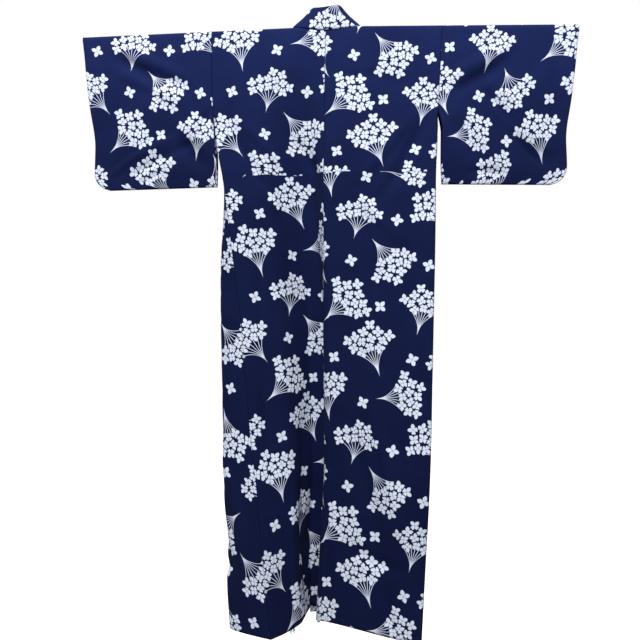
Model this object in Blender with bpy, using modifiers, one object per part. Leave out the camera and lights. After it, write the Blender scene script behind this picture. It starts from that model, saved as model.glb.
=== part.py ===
"""Cotton yukata hanging from a plain kimono hanger, in metres, +Z up.

The origin is where the hanger's hook bears on a rail.  The robe's back faces -Y and its
fronts face +Y, so the wearer's right is +X.  Every cloth piece is one wall, worked out from
its cut: a point of a piece is given by `u`, how far it lies from the centre-back line, and
`drop`, how far it lies below the fold over the shoulders, both measured along the cloth.
"""

from math import acos, cos, hypot, pi, radians, sin, sqrt, tan

import bmesh
import bpy

COLLECTION = "yukata_on_hanger"

# ---------------------------------------------------------------- driving sizes
CLOTH = 0.0015  # wall of one layer of cotton
SEAM = 0.0003  # gap that sewn edges keep
LENGTH = 1.610  # shoulder fold to hem
SHOULDER_HALF = 0.311  # centre back to armhole seam, at the shoulder
BACK_HALF = 0.295  # centre back to side seam, at the hem
SIDE_HALF = 0.297  # centre back to the side seam's top
FRONT_HALF = 0.298  # the same for a front, from its centre line, down to the hem
SIDE_SEAM_TOP = 0.400  # the side seams start this far below the shoulder
SLEEVE_JOIN = 0.230  # how far down the sleeve is sewn to the body
NECK_HALF = 0.090  # centre back to where the neckline meets the shoulder
NECK_DIP = 0.018  # how far the back neckline lies below the shoulder fold
FRONT_SEAM = 0.058  # overlap seam, from the centre line
KENSAKI = 0.250  # top point of the overlap panel, below the shoulder
OVERLAP_WIDTH = 0.150
COLLAR_END = 0.820  # where the collar stops on the overlap's edge
COLLAR_WIDTH = 0.060
COLLAR_WALL = 0.0024  # the collar is folded double
COVER_WALL = 0.0010
COVER_GAP = 0.0010  # the cover is only tacked on, and lies a little loose
COVER_END = 0.340  # the collar's cover stops this far below the shoulder
COVER_INSIDE = 0.026  # its inner layer starts above the hanger's hub
SLEEVE_WIDTH = 0.359
SLEEVE_LENGTH = 0.434
SLEEVE_CORNER = 0.050  # radius of the sleeve's lower outer corner
WRIST_OPENING = 0.300

SHOULDER_Z = -0.165  # top of the cloth over the hanger, at the centre
ROD_RADIUS = 0.010
BEND_RADIUS = 0.01235  # middle of the cloth where it turns over the rod
ROD_SLACK = 0.0006  # gap between the rod's top and the cloth that hangs on it
ROD_DROOP = 0.0192  # each arm falls this much for each metre outward
ROD_REACH = 0.640
HUB = (0.060, 0.019, 0.026)
HUB_EDGE = 0.002
POST_WIDTH = 0.045
POST_THICK = 0.012
POST_TOP_Z = -0.066
POST_NECK = 0.008  # half its width at the top
POST_NARROWS = 0.030  # it narrows over this height
HOOK_RADIUS = 0.0215  # middle line of the hook's wire
HOOK_WIRE = 0.0035
HOOK_STEPS = 18
HOOK_TURN = (-90, 190)  # degrees, from below the rail round to its far side

# ---------------------------------------------------------------- folds
# Angles turn the cloth out of the plane of the shoulders, in degrees: positive goes away
# from the back's side (+Y) while walking outward from the centre-back seam.
BACK_COLUMNS = (
    "drop", "seam_x", "seam_y", "pleat", "floor", "climb", "face", "tuck_in", "lean", "outer",
)
BACK_ROWS = (
    (0.000, 0.0010, -0.0126, 0, 0, 0, 0, 0, 0, 0),
    (0.100, -0.0020, -0.0130, 0, 0, 0, 0, 0, 0, 0),
    (0.200, -0.0040, -0.0120, 12, 2, -6, -2, 0, 0, 0),
    (0.300, -0.0055, -0.0110, 28, 5, -13, -5, -5, -1, 3),
    (0.420, -0.0065, -0.0080, 50, 10, -25, -12, -12, -3, 12),
    (0.520, -0.0068, -0.0040, 62, 12, -30, -14, -22, -5, 18),
    (0.628, -0.0070, 0.0000, 74, 16, -33, -16, -32, -7, 22),
    (0.754, -0.0075, 0.0050, 86, 23, -38, -18, -42, -10, 25),
    (0.952, -0.0075, 0.0120, 92, 28, -48, -21, -50, -15, 28),
    (1.109, -0.0065, 0.0180, 97, 27, -54, -24, -56, -18, 30),
    (1.238, -0.0080, 0.0220, 100, 26, -63, -31, -60, -20, 30),
    (1.420, -0.0190, 0.0280, 104, 28, -74, -40, -64, -18, 30),
    (1.610, -0.0290, 0.0320, 118, 38, -77, -49, -65, -18, 28),
)
# How far along the cloth each of the left back's folds starts and ends.
PLEAT_END = 0.040
FLOOR = (0.060, 0.085)
CLIMB = (0.105, 0.175)
FACE = 0.200
TUCK_IN_END = 0.010
LEAN = (0.026, 0.262)
HEM_PEAK = 0.075  # the hem is drawn up most this far to the left of the centre back
HEM_PEAK_HALF = 0.190
HEM_TURN = 0.020  # and from here to the right it comes down over HEM_FADE
HEM_FADE = 0.240
HEM_LIFT_LEFT = 0.024
HEM_LIFT_RIGHT = 0.014

EDGES_MEET_FROM = 0.15  # below this drop a front's side edge closes up on the back's
QUARTER_X = 0.15  # where across the fore side quarter_y, middle_y and far_y are measured
MIDDLE_X = -0.03
FAR_X = 0.17

# The fronts follow a smooth line from the side seam out to the silhouette (out_x), round to
# the fore side and in across the front; the left lies over the right.
FRONT_COLUMNS = ("drop", "edge_y", "out_x", "back_y", "fore_y", "quarter_y", "middle_y", "far_y")
LEFT_FRONT_ROWS = (
    (0.000, 0.0124, -0.3110, 0.0124, 0.0124, 0.0124, 0.0124, 0.0124),
    (0.100, 0.020, -0.3060, 0.020, 0.020, 0.023, 0.025, 0.025),
    (0.200, 0.022, -0.3005, 0.022, 0.022, 0.030, 0.037, 0.037),
    (0.300, 0.014, -0.2930, 0.014, 0.016, 0.040, 0.056, 0.052),
    (0.420, -0.020, -0.2760, -0.008, 0.010, 0.052, 0.080, 0.068),
    (0.520, -0.020, -0.2790, -0.004, 0.016, 0.060, 0.094, 0.078),
    (0.628, -0.020, -0.2860, 0.000, 0.022, 0.068, 0.110, 0.088),
    (0.754, -0.015, -0.2870, 0.000, 0.026, 0.076, 0.126, 0.098),
    (0.952, -0.015, -0.2820, -0.004, 0.026, 0.082, 0.136, 0.106),
    (1.109, -0.015, -0.2780, -0.008, 0.024, 0.086, 0.142, 0.110),
    (1.238, -0.015, -0.2740, -0.012, 0.022, 0.088, 0.146, 0.112),
    (1.420, -0.015, -0.2690, -0.018, 0.020, 0.092, 0.152, 0.114),
    (1.610, -0.015, -0.2560, -0.022, 0.018, 0.096, 0.158, 0.116),
)
RIGHT_FRONT_ROWS = (
    (0.000, 0.0124, 0.3110, 0.0124, 0.0124, 0.0124, 0.0124, 0.0124),
    (0.100, 0.020, 0.3080, 0.020, 0.020, 0.023, 0.024, 0.024),
    (0.200, 0.022, 0.3030, 0.022, 0.022, 0.028, 0.030, 0.028),
    (0.300, 0.014, 0.2990, 0.014, 0.016, 0.032, 0.040, 0.030),
    (0.420, -0.010, 0.2920, -0.004, 0.016, 0.040, 0.062, 0.034),
    (0.520, -0.010, 0.2890, -0.006, 0.020, 0.046, 0.076, 0.040),
    (0.628, -0.010, 0.2850, -0.012, 0.020, 0.054, 0.092, 0.046),
    (0.754, -0.010, 0.2780, -0.020, 0.016, 0.062, 0.108, 0.052),
    (0.952, -0.010, 0.2690, -0.032, 0.008, 0.068, 0.118, 0.056),
    (1.109, -0.010, 0.2630, -0.042, 0.000, 0.072, 0.124, 0.058),
    (1.238, -0.010, 0.2590, -0.046, -0.004, 0.076, 0.128, 0.060),
    (1.420, -0.010, 0.2530, -0.040, 0.000, 0.080, 0.134, 0.062),
    (1.610, -0.010, 0.2430, -0.036, 0.004, 0.084, 0.140, 0.064),
)

# The collar's free edge, from its neckline seam, along the right half of the neck from the
# centre back; past the last row the collar lies in the front's own line.
NECK_COLUMNS = ("along", "reach_x", "reach_y", "reach_z")
NECK_ROWS = (
    (0.000, 0.000, -0.002, 0.060),
    (0.030, -0.009, -0.002, 0.059),
    (0.060, -0.023, 0.002, 0.055),
    (0.085, -0.038, 0.012, 0.047),
    (0.100, -0.044, 0.020, 0.037),
    (0.120, -0.048, 0.024, 0.022),
    (0.150, -0.054, 0.016, 0.010),
    (0.190, -0.059, 0.006, 0.008),
)
# The back neckline is this long on each side; there the collar turns over the shoulder.
NECK_ALONG = 0.0925
FRONT_LINE_FROM = (0.140, 0.190)
# Round the neck the collar sits this far outside the body's cloth, fading out down the front.
SLANT_TURN = 0.12  # the collar turns from one slant to the next over this length
COLLAR_LIFT = 0.0014
COLLAR_LIFT_FADE = (0.115, 0.180)

SLEEVE_FREES = 0.06  # below its seam the sleeve comes away from the body over this drop
SLEEVE_FOLLOWS = 0.25  # this share of its width follows the body's edge
WRIST_FROM = 0.55  # its layers start to part for the wrist at this share of its width
WRIST_OVER = 0.45

# How far the sleeve's inner edges and its outer edge lean in toward the body, and half the
# gap between its back and its front, over most of its width and at the wrist.
SLEEVE_COLUMNS = ("drop", "inner_left", "inner_right", "outer", "half_gap", "wrist_gap")
SLEEVE_ROWS = (
    (0.000, 0.0000, 0.0000, 0.000, 0.0124, 0.0124),
    (0.060, 0.0010, 0.0010, 0.009, 0.0160, 0.0160),
    (0.120, 0.0020, 0.0020, 0.016, 0.0195, 0.0185),
    (0.200, 0.0050, 0.0035, 0.026, 0.0220, 0.0185),
    (0.300, 0.0120, 0.0050, 0.039, 0.0200, 0.0100),
    (0.370, 0.0170, 0.0065, 0.036, 0.0130, 0.0014),
    (0.434, 0.0180, 0.0065, 0.036, 0.0014, 0.0014),
)

# Soft troughs in the sleeves, from one point to another: how far out from the armhole and how
# far down each starts and ends, its half width and its depth.
SLEEVE_CREASES = (
    (0.110, 0.060, 0.330, 0.330, 0.060, 0.006),
    (0.020, 0.160, 0.250, 0.400, 0.055, 0.005),
)

# ---------------------------------------------------------------- mesh divisions
SEAM_SPARE = 1.05  # walls that meet at an angle stop this much further from their seam
LAST_COLUMN = 0.035  # about how wide the outermost column of faces is
NECK_US = (0.0, 0.020, 0.040, 0.056, 0.068, 0.078, 0.085)
OUTER_US = (NECK_HALF, 0.110, 0.135, 0.165, 0.195, 0.225, 0.250, 0.270, 0.284, BACK_HALF)
KENSAKI_ROW = KENSAKI + 0.012
DROPS = (LENGTH, 1.550, 1.480, 1.400, 1.310, 1.210, 1.100, 0.990, 0.900, COLLAR_END, 0.740,
         0.660, 0.580, 0.500, 0.450, SIDE_SEAM_TOP, COVER_END, 0.290, KENSAKI_ROW, KENSAKI,
         0.200, 0.150, 0.100, 0.075, 0.052)
ROD_STEPS = 4  # rows over each quarter of the rod
OVERLAP_COLUMNS = 4
SLEEVE_SHARES = (0.0, 0.06, 0.15, 0.28, 0.42, 0.56, 0.70, 0.83, 0.93, 1.0)
SLEEVE_DROPS = (SLEEVE_LENGTH, 0.422, 0.402, 0.360, WRIST_OPENING, *DROPS[DROPS.index(KENSAKI):])

COLOURS = {
    "cotton": ((0.012, 0.018, 0.085, 1.0), 0.85, 0.0),
    "hanger": ((0.90, 0.89, 0.86, 1.0), 0.45, 0.0),
    "steel": ((0.62, 0.62, 0.62, 1.0), 0.30, 1.0),
}

QUARTER_TURN = BEND_RADIUS * pi / 2


def row_at(columns, rows, key):
    """The table's columns at a value of its first column, on a smooth line through its rows."""
    if key <= rows[0][0]:
        return dict(zip(columns, rows[0]))
    if key >= rows[-1][0]:
        return dict(zip(columns, rows[-1]))
    i = max(n for n in range(len(rows) - 1) if rows[n][0] <= key)
    before, low = rows[max(i - 1, 0)], rows[i]
    high, after = rows[i + 1], rows[min(i + 2, len(rows) - 1)]
    span = high[0] - low[0]
    t = (key - low[0]) / span
    found = {}
    for n, column in enumerate(columns):
        rise = (high[n] - before[n]) / (high[0] - before[0]) * span
        fall = (after[n] - low[n]) / (after[0] - low[0]) * span
        found[column] = (
            (2 * t**3 - 3 * t**2 + 1) * low[n] + (t**3 - 2 * t**2 + t) * rise
            + (3 * t**2 - 2 * t**3) * high[n] + (t**3 - t**2) * fall
        )
    return found


def between(low, high, t):
    return low + (high - low) * t


def eased(t):
    t = min(max(t, 0.0), 1.0)
    return t * t * (3 - 2 * t)


def down(drop):
    """Height lost below the shoulder fold by cloth that goes round the rod and hangs."""
    if drop < QUARTER_TURN:
        return CLOTH / 2 + BEND_RADIUS * (1 - cos(drop / BEND_RADIUS))
    return CLOTH / 2 + BEND_RADIUS + drop - QUARTER_TURN


def round_rod(drop):
    """How far from the rod's upright plane the cloth lies at a drop near the fold."""
    return BEND_RADIUS * sin(min(drop, QUARTER_TURN) / BEND_RADIUS)


def back_half(drop):
    """Width of half the back, from the shoulder down to the side seam and the hem."""
    if drop < SIDE_SEAM_TOP:
        return between(SHOULDER_HALF, SIDE_HALF, drop / SIDE_SEAM_TOP)
    return between(SIDE_HALF, BACK_HALF, (drop - SIDE_SEAM_TOP) / (LENGTH - SIDE_SEAM_TOP))


def front_inner(drop):
    """u of the front panel's inner edge: the collar's slant, then the overlap's seam."""
    return between(NECK_HALF, FRONT_SEAM, min(drop / KENSAKI, 1.0))


def front_side(drop):
    return between(SHOULDER_HALF, FRONT_HALF, min(drop / SIDE_SEAM_TOP, 1.0))


def overlap_edge(drop):
    """u of the overlap's outer edge: along the collar down to its end, then straight."""
    t = min(max((drop - KENSAKI) / (COLLAR_END - KENSAKI), 0.0), 1.0)
    return FRONT_SEAM - OVERLAP_WIDTH * t


def hem_lift(u, drop):
    """The hem is drawn up a little along the deep fold at the centre back."""
    if u < HEM_TURN:
        across = eased(1 - abs(u + HEM_PEAK) / HEM_PEAK_HALF)
    else:
        across = eased(1 - (u - HEM_TURN) / HEM_FADE)
    return between(0.0, HEM_LIFT_LEFT if u < 0 else HEM_LIFT_RIGHT, across) * eased(drop / LENGTH)


def angle_at(knots, distance):
    for (s0, a0), (s1, a1) in zip(knots, knots[1:]):
        if distance <= s1:
            return between(a0, a1, eased((distance - s0) / (s1 - s0)))
    return knots[-1][1]


def walk(side, start, knots, distances, step=0.0025):
    """Points at true distances along a line whose heading is given by knots."""
    x, y = start
    s = 0.0
    points = []
    for distance in distances:
        count = max(1, round((distance - s) / step))
        stride = (distance - s) / count
        for n in range(count):
            angle = radians(angle_at(knots, s + (n + 0.5) * stride))
            x += side * stride * cos(angle)
            y += stride * sin(angle)
        s = distance
        points.append((x, y))
    return points


def back_line(side, drop, distances):
    """Plan of half the back, from the centre seam outward."""
    row = row_at(BACK_COLUMNS, BACK_ROWS, drop)
    y = row["seam_y"] if drop > QUARTER_TURN else -round_rod(drop)
    if side < 0:
        knots = (
            (0.0, row["pleat"]), (PLEAT_END, row["pleat"]),
            (FLOOR[0], row["floor"]), (FLOOR[1], row["floor"]),
            (CLIMB[0], row["climb"]), (CLIMB[1], row["climb"]),
            (FACE, row["face"]), (SHOULDER_HALF, row["face"]),
        )
    else:
        knots = (
            (0.0, row["tuck_in"]), (TUCK_IN_END, row["tuck_in"]),
            (LEAN[0], row["lean"]), (LEAN[1], row["lean"]), (SHOULDER_HALF, row["outer"]),
        )
    return walk(side, (row["seam_x"], y), knots, distances)


def rounded(controls, steps=8):
    """A smooth line that starts at the first control and rounds off the others."""
    points = [controls[0]]
    middles = [controls[0]]
    middles += [
        tuple((a + b) / 2 for a, b in zip(p, q)) for p, q in zip(controls[1:-1], controls[2:])
    ]
    middles[-1] = controls[-1]
    for start, corner, end in zip(middles, controls[1:-1], middles[1:]):
        for n in range(1, steps + 1):
            t = n / steps
            points.append(tuple(
                (1 - t) ** 2 * a + 2 * t * (1 - t) * b + t * t * c
                for a, b, c in zip(start, corner, end)
            ))
    return points


def along(points, distance):
    """The point at a distance along a line, which runs on straight past its end."""
    for (x0, y0), (x1, y1) in zip(points, points[1:]):
        length = hypot(x1 - x0, y1 - y0)
        if length > 0 and (distance <= length or (x1, y1) == points[-1]):
            t = distance / length
            return (between(x0, x1, t), between(y0, y1, t))
        distance -= length
    return points[-1]


def side_edge(side, drop):
    """Where the back meets the side seam."""
    return back_line(side, drop, (back_half(drop),))[0]


def front_line(side, drop):
    """Plan of one front, from its side edge round to the fore side and across."""
    rows = LEFT_FRONT_ROWS if side < 0 else RIGHT_FRONT_ROWS
    row = row_at(FRONT_COLUMNS, rows, drop)
    back_edge = side_edge(side, drop)
    free = 1 - eased((drop - EDGES_MEET_FROM) / (SIDE_SEAM_TOP - EDGES_MEET_FROM))
    edge_y = row["edge_y"] if drop > QUARTER_TURN else round_rod(drop)
    start = (back_edge[0], between(back_edge[1], edge_y, free))
    if drop < QUARTER_TURN:
        return [start, (0.0, edge_y), (-side * FAR_X, edge_y)]
    return rounded([
        start,
        (row["out_x"], row["back_y"]),
        (row["out_x"], row["fore_y"]),
        (side * QUARTER_X, row["quarter_y"]),
        (MIDDLE_X, row["middle_y"]),
        (-side * FAR_X, row["far_y"]),
    ])


def height(u, drop):
    return SHOULDER_Z - down(drop) - ROD_DROOP * abs(u)


def back_points(side, us, drop):
    """Points of the back at one drop, for rising values of u."""
    line = back_line(side, drop, us)
    return [(x, y, height(u, drop) + hem_lift(side * u, drop)) for u, (x, y) in zip(us, line)]


def front_points(side, us, drop):
    """Points of a front, its overlap or its collar at one drop."""
    line = front_line(side, drop)
    points = []
    for u in us:
        x, y = along(line, front_side(drop) - u)
        points.append((x, y, height(u, drop)))
    return points


def turn_at(before, corner, after):
    """Angle in radians by which a line turns at a corner, at most a right angle."""
    ax, ay = corner[0] - before[0], corner[1] - before[1]
    bx, by = after[0] - corner[0], after[1] - corner[1]
    dot = (ax * bx + ay * by) / max(hypot(ax, ay) * hypot(bx, by), 1e-12)
    return acos(min(max(dot, 0.0), 1.0))


def seam_back_off(turn):
    """How far from a seam's line each wall stops, so that SEAM stays between the two."""
    return SEAM / 2 + CLOTH / 2 * tan(turn / 2) * SEAM_SPARE


def centre_back_off(drop):
    row = row_at(BACK_COLUMNS, BACK_ROWS, drop)
    return seam_back_off(radians(min(abs(row["pleat"] + row["tuck_in"]), 90)))


def side_back_off(side, drop):
    inside, edge = back_line(side, drop, (back_half(drop) - LAST_COLUMN, back_half(drop)))
    return seam_back_off(turn_at(inside, edge, along(front_line(side, drop), LAST_COLUMN)))


# ---------------------------------------------------------------- cloth pieces, as rows of points
TOP_DROPS = tuple(QUARTER_TURN * n / ROD_STEPS for n in range(ROD_STEPS, 0, -1))


def neckline(u):
    """Drop of the back neckline's seam."""
    return NECK_DIP * (1 - (u / NECK_HALF) ** 2)


OUTER_SHARES = [(u - NECK_HALF) / (BACK_HALF - NECK_HALF) for u in OUTER_US]


def back_rows(side):
    """Half of the back, from the hem up to the fold over the shoulder."""
    low_neck = DROPS[-1]
    rows = []
    for drop in (*DROPS, *TOP_DROPS, SEAM / 2):
        edge = back_half(drop) - side_back_off(side, drop)
        inner_us = [max(u, centre_back_off(drop)) for u in NECK_US]
        outer_us = [between(NECK_HALF, edge, share) for share in OUTER_SHARES]
        if drop > low_neck:
            rows.append(back_points(side, inner_us + outer_us, drop))
            continue
        inner = []
        for u in inner_us:
            top = neckline(u) + SEAM
            inner += back_points(side, (u,), between(top, low_neck, drop / low_neck))
        rows.append(inner + back_points(side, outer_us, drop))
    return rows


def front_rows(side):
    """A front, from the fold over the shoulder down to the hem, on the same cloth as the back."""
    rows = []
    for drop in (SEAM / 2, *TOP_DROPS[::-1], *DROPS[::-1]):
        inner = front_inner(drop) + SEAM / 2
        edge = front_side(drop) - side_back_off(side, drop)
        us = [between(inner, edge, share) for share in OUTER_SHARES]
        rows.append(front_points(side, us, drop))
    return rows


def overlap_rows(side):
    rows = []
    for drop in DROPS[:DROPS.index(KENSAKI)]:
        inner = FRONT_SEAM - SEAM / 2
        outer = overlap_edge(drop) + (SEAM / 2 if drop < COLLAR_END else 0.0)
        us = [between(inner, outer, n / OVERLAP_COLUMNS) for n in range(OVERLAP_COLUMNS + 1)]
        rows.append(front_points(side, us, drop))
    return rows


def collar_seam(distance):
    """u and drop of the collar's seam at a distance from the centre back, and its inward
    direction in the cloth of the front."""
    if distance < NECK_ALONG:
        u = NECK_HALF * distance / NECK_ALONG
        return u, neckline(u), (-1.0, 0.0)
    corners = (
        (NECK_HALF, 0.0), (FRONT_SEAM, KENSAKI), (FRONT_SEAM - OVERLAP_WIDTH, COLLAR_END),
    )
    left = distance - NECK_ALONG
    slants = []
    for (u0, v0), (u1, v1) in zip(corners, corners[1:]):
        length = hypot(u1 - u0, v1 - v0)
        slants.append((length, (u1 - u0) / length, (v1 - v0) / length))
    first, second = slants
    if left < first[0]:
        start, slant, way = corners[0], first, left
    else:
        start, slant, way = corners[1], second, left - first[0]
    turned = eased((left - first[0]) / SLANT_TURN + 0.5)
    across = (
        between(first[2], second[2], turned), between(-first[1], -second[1], turned),
    )
    return start[0] + slant[1] * way, start[1] + slant[2] * way, (-across[0], -across[1])


def collar_distance(drop):
    """How far along the collar its seam on the front has come down to a drop."""
    upper = min(drop / KENSAKI, 1.0) * hypot(NECK_HALF - FRONT_SEAM, KENSAKI)
    below = max(drop - KENSAKI, 0.0) / (COLLAR_END - KENSAKI)
    return NECK_ALONG + upper + below * hypot(OVERLAP_WIDTH, COLLAR_END - KENSAKI)


def collar_base(side, distance, across):
    """A point of the collar's own surface, which carries on from the body's cloth."""
    u, drop, inward = collar_seam(distance)
    if distance < NECK_ALONG:
        seam = back_points(side, (u,), drop)[0]
    else:
        seam = front_points(side, (u,), drop)[0]
    row = row_at(NECK_COLUMNS, NECK_ROWS, distance)
    share = across / COLLAR_WIDTH
    stood = (
        seam[0] + side * row["reach_x"] * share,
        seam[1] + row["reach_y"] * share,
        seam[2] + row["reach_z"] * share,
    )
    if distance < FRONT_LINE_FROM[0]:
        return stood
    laid_drop = max(drop + inward[1] * across, 0.0)
    laid = front_points(side, (u + inward[0] * across,), laid_drop)[0]
    low, high = FRONT_LINE_FROM
    t = eased((distance - low) / (high - low))
    return tuple(between(a, b, t) for a, b in zip(stood, laid))


def collar_normal(side, distance, across):
    """Unit vector out of the collar's right side, which faces away from the neck."""
    step = 0.006
    ahead = collar_base(side, distance + step, across)
    behind = collar_base(side, max(distance - step, 0.0), across)
    free = collar_base(side, distance, min(across + step, COLLAR_WIDTH))
    seam = collar_base(side, distance, max(across - step, 0.0))
    a = [p - q for p, q in zip(ahead, behind)]
    b = [p - q for p, q in zip(free, seam)]
    normal = (a[1] * b[2] - a[2] * b[1], a[2] * b[0] - a[0] * b[2], a[0] * b[1] - a[1] * b[0])
    length = sqrt(sum(c * c for c in normal))
    return [side * c / length for c in normal]


def collar_point(side, distance, across, off=0.0):
    """A point of the collar, or one that lies `off` outside it."""
    low, high = COLLAR_LIFT_FADE
    lift = off + COLLAR_LIFT * (1 - eased((distance - low) / (high - low)))
    base = collar_base(side, distance, across)
    normal = collar_normal(side, distance, across)
    return tuple(p + lift * n for p, n in zip(base, normal))


def collar_stations(last_drop):
    """Side and distance of each station, from the collar's left end round to its right end."""
    downs = [drop for drop in (*TOP_DROPS[::-1], *DROPS[::-1]) if drop <= last_drop]
    distances = [u * NECK_ALONG / NECK_HALF for u in (*NECK_US[1:], NECK_HALF)]
    distances += [collar_distance(drop) for drop in downs]
    return [(-1, d) for d in distances[::-1]] + [(1, 0.0)] + [(1, d) for d in distances]


COLLAR_ACROSS = (SEAM * 3, 0.006, 0.020, 0.040, COLLAR_WIDTH)


def collar_rows():
    return [
        [collar_point(side, distance, across) for across in COLLAR_ACROSS]
        for side, distance in collar_stations(COLLAR_END)
    ]


def cover_rows():
    """The cover is folded round the collar's free edge, a little off both of its sides."""
    off = COLLAR_WALL / 2 + COVER_GAP + COVER_WALL / 2
    tip = COLLAR_WIDTH + off
    edge = COLLAR_WIDTH - COLLAR_WALL / 2
    stations = (
        (0.006, off), (0.020, off), (0.040, off), (edge, off), (tip, off * 0.45),
        (tip, -off * 0.45), (edge, -off), (0.040, -off), (COVER_INSIDE, -off),
    )
    return [
        [collar_point(side, distance, across, lift) for across, lift in stations]
        for side, distance in collar_stations(COVER_END)
    ]


def sleeve_point(side, layer, share, drop):
    """A point of a sleeve: layer -1 is its back and 1 its front, share runs out to the wrist."""
    row = row_at(SLEEVE_COLUMNS, SLEEVE_ROWS, drop)
    shift = row["inner_left"] if side < 0 else row["inner_right"]
    inner = SHOULDER_HALF - shift
    outer = SHOULDER_HALF + SLEEVE_WIDTH - row["outer"]
    past_corner = max(drop - (SLEEVE_LENGTH - SLEEVE_CORNER), 0.0)
    cut_back = SLEEVE_CORNER - sqrt(max(SLEEVE_CORNER**2 - past_corner**2, 0.0))
    outer -= cut_back
    if layer < 0:
        edge = side_edge(side, drop)
    else:
        edge = front_line(side, drop)[0]
    sewn = 1 - eased((drop - SLEEVE_JOIN) / SLEEVE_FREES)
    inner = between(inner, abs(edge[0]), sewn) + CLOTH / 2 + 2 * SEAM
    half = between(row["half_gap"], row["wrist_gap"], eased((share - WRIST_FROM) / WRIST_OVER))
    if drop < QUARTER_TURN:
        half = round_rod(drop)
    y = between(layer * half, edge[1], sewn * (1 - eased(share / SLEEVE_FOLLOWS)))
    x = between(inner, outer, share)
    for crease in SLEEVE_CREASES:
        y -= layer * crease_depth(crease, x - SHOULDER_HALF, drop)
    return side * x, y, height(x, drop)


def crease_depth(crease, out, drop):
    """Depth of a soft trough that runs from one point of a sleeve to another."""
    out0, drop0, out1, drop1, width, depth = crease
    run_x, run_y = out1 - out0, drop1 - drop0
    length = hypot(run_x, run_y)
    t = ((out - out0) * run_x + (drop - drop0) * run_y) / length**2
    off = ((out - out0) * run_y - (drop - drop0) * run_x) / length
    return depth * eased(1 - abs(off) / width) * eased(1 - abs(2 * t - 1) ** 2)


def sleeve_rows(side):
    """Once round: up the back from the bottom seam, over the rod and down the front."""
    drops = (*SLEEVE_DROPS, *TOP_DROPS)
    rows = [[sleeve_point(side, -1, share, drop) for share in SLEEVE_SHARES] for drop in drops]
    rows.append([sleeve_point(side, 1, share, 0.0) for share in SLEEVE_SHARES])
    rows += [
        [sleeve_point(side, 1, share, drop) for share in SLEEVE_SHARES] for drop in drops[::-1]
    ]
    return rows


# ---------------------------------------------------------------- objects
def clear_scene():
    for old in list(bpy.data.objects):
        bpy.data.objects.remove(old, do_unlink=True)


def material(name):
    colour, roughness, metallic = COLOURS[name]
    made = bpy.data.materials.new(name)
    made.use_nodes = True
    shader = made.node_tree.nodes["Principled BSDF"]
    shader.inputs["Base Color"].default_value = colour
    shader.inputs["Roughness"].default_value = roughness
    shader.inputs["Metallic"].default_value = metallic
    return made


def add(name, data, collection, finish):
    made = bpy.data.objects.new(name, data)
    data.materials.append(material(finish))
    collection.objects.link(made)
    return made


def wall(name, rows, thickness, collection, closed=False):
    """A cloth piece: its rows of points joined as one open surface, given its thickness."""
    mesh = bmesh.new()
    grid = [[mesh.verts.new(p) for p in row] for row in rows]
    pairs = list(zip(grid, grid[1:])) + ([(grid[-1], grid[0])] if closed else [])
    for low, high in pairs:
        for a, b, c, d in zip(low, low[1:], high[1:], high):
            # a face is split from its first corner, so it starts on its shorter diagonal
            first_is_short = (a.co - c.co).length < (b.co - d.co).length
            mesh.faces.new((a, b, c, d) if first_is_short else (b, c, d, a))
    data = bpy.data.meshes.new(name)
    mesh.to_mesh(data)
    mesh.free()
    data.shade_smooth()
    made = add(name, data, collection, "cotton")
    solidify = made.modifiers.new("wall", "SOLIDIFY")
    solidify.thickness = thickness
    solidify.offset = 0.0
    solidify.use_even_offset = True
    return made


def tube(name, points, radius, collection, finish, resolution=2):
    curve = bpy.data.curves.new(name, "CURVE")
    curve.dimensions = "3D"
    spline = curve.splines.new("POLY")
    spline.points.add(len(points) - 1)
    for point, place in zip(spline.points, points):
        point.co = (*place, 1.0)
    curve.bevel_depth = radius
    curve.bevel_resolution = resolution
    curve.use_fill_caps = True
    return add(name, curve, collection, finish)


def make_hanger(collection):
    axis_z = SHOULDER_Z - CLOTH - ROD_SLACK - ROD_RADIUS
    hub_width, hub_depth, hub_height = HUB
    for name, side in (("hanger_arm_left", -1), ("hanger_arm_right", 1)):
        ends = (hub_width / 2 + SEAM, ROD_REACH)
        points = [(side * x, 0.0, axis_z - ROD_DROOP * x) for x in ends]
        tube(name, points, ROD_RADIUS, collection, "hanger", resolution=4)
    mesh = bmesh.new()
    bmesh.ops.create_cube(mesh, size=1.0)
    data = bpy.data.meshes.new("hanger_hub")
    bmesh.ops.scale(mesh, vec=HUB, verts=mesh.verts)
    mesh.to_mesh(data)
    mesh.free()
    hub = add("hanger_hub", data, collection, "hanger")
    hub.location = (0.0, 0.0, axis_z)
    bevel = hub.modifiers.new("edges", "BEVEL")
    bevel.width = HUB_EDGE
    bevel.segments = 2
    make_post(collection, axis_z + hub_height / 2 + SEAM)
    make_hook(collection)


def make_post(collection, foot):
    """A flat post that narrows above the collar to carry the hook."""
    half = POST_WIDTH / 2
    shoulder = POST_TOP_Z - POST_NARROWS
    curve = bpy.data.curves.new("hanger_post", "CURVE")
    curve.dimensions = "2D"
    curve.fill_mode = "BOTH"
    curve.extrude = POST_THICK / 2
    rise = [
        (between(half, POST_NECK, eased(n / 6)), between(shoulder, POST_TOP_Z, n / 6))
        for n in range(7)
    ]
    outline = [(half, foot)] + rise
    outline += [(-x, z) for x, z in outline[::-1]]
    spline = curve.splines.new("POLY")
    spline.points.add(len(outline) - 1)
    for point, (x, z) in zip(spline.points, outline):
        point.co = (x, z, 0.0, 1.0)
    spline.use_cyclic_u = True
    post = add("hanger_post", curve, collection, "hanger")
    post.rotation_euler = (pi / 2, 0.0, 0.0)


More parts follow.
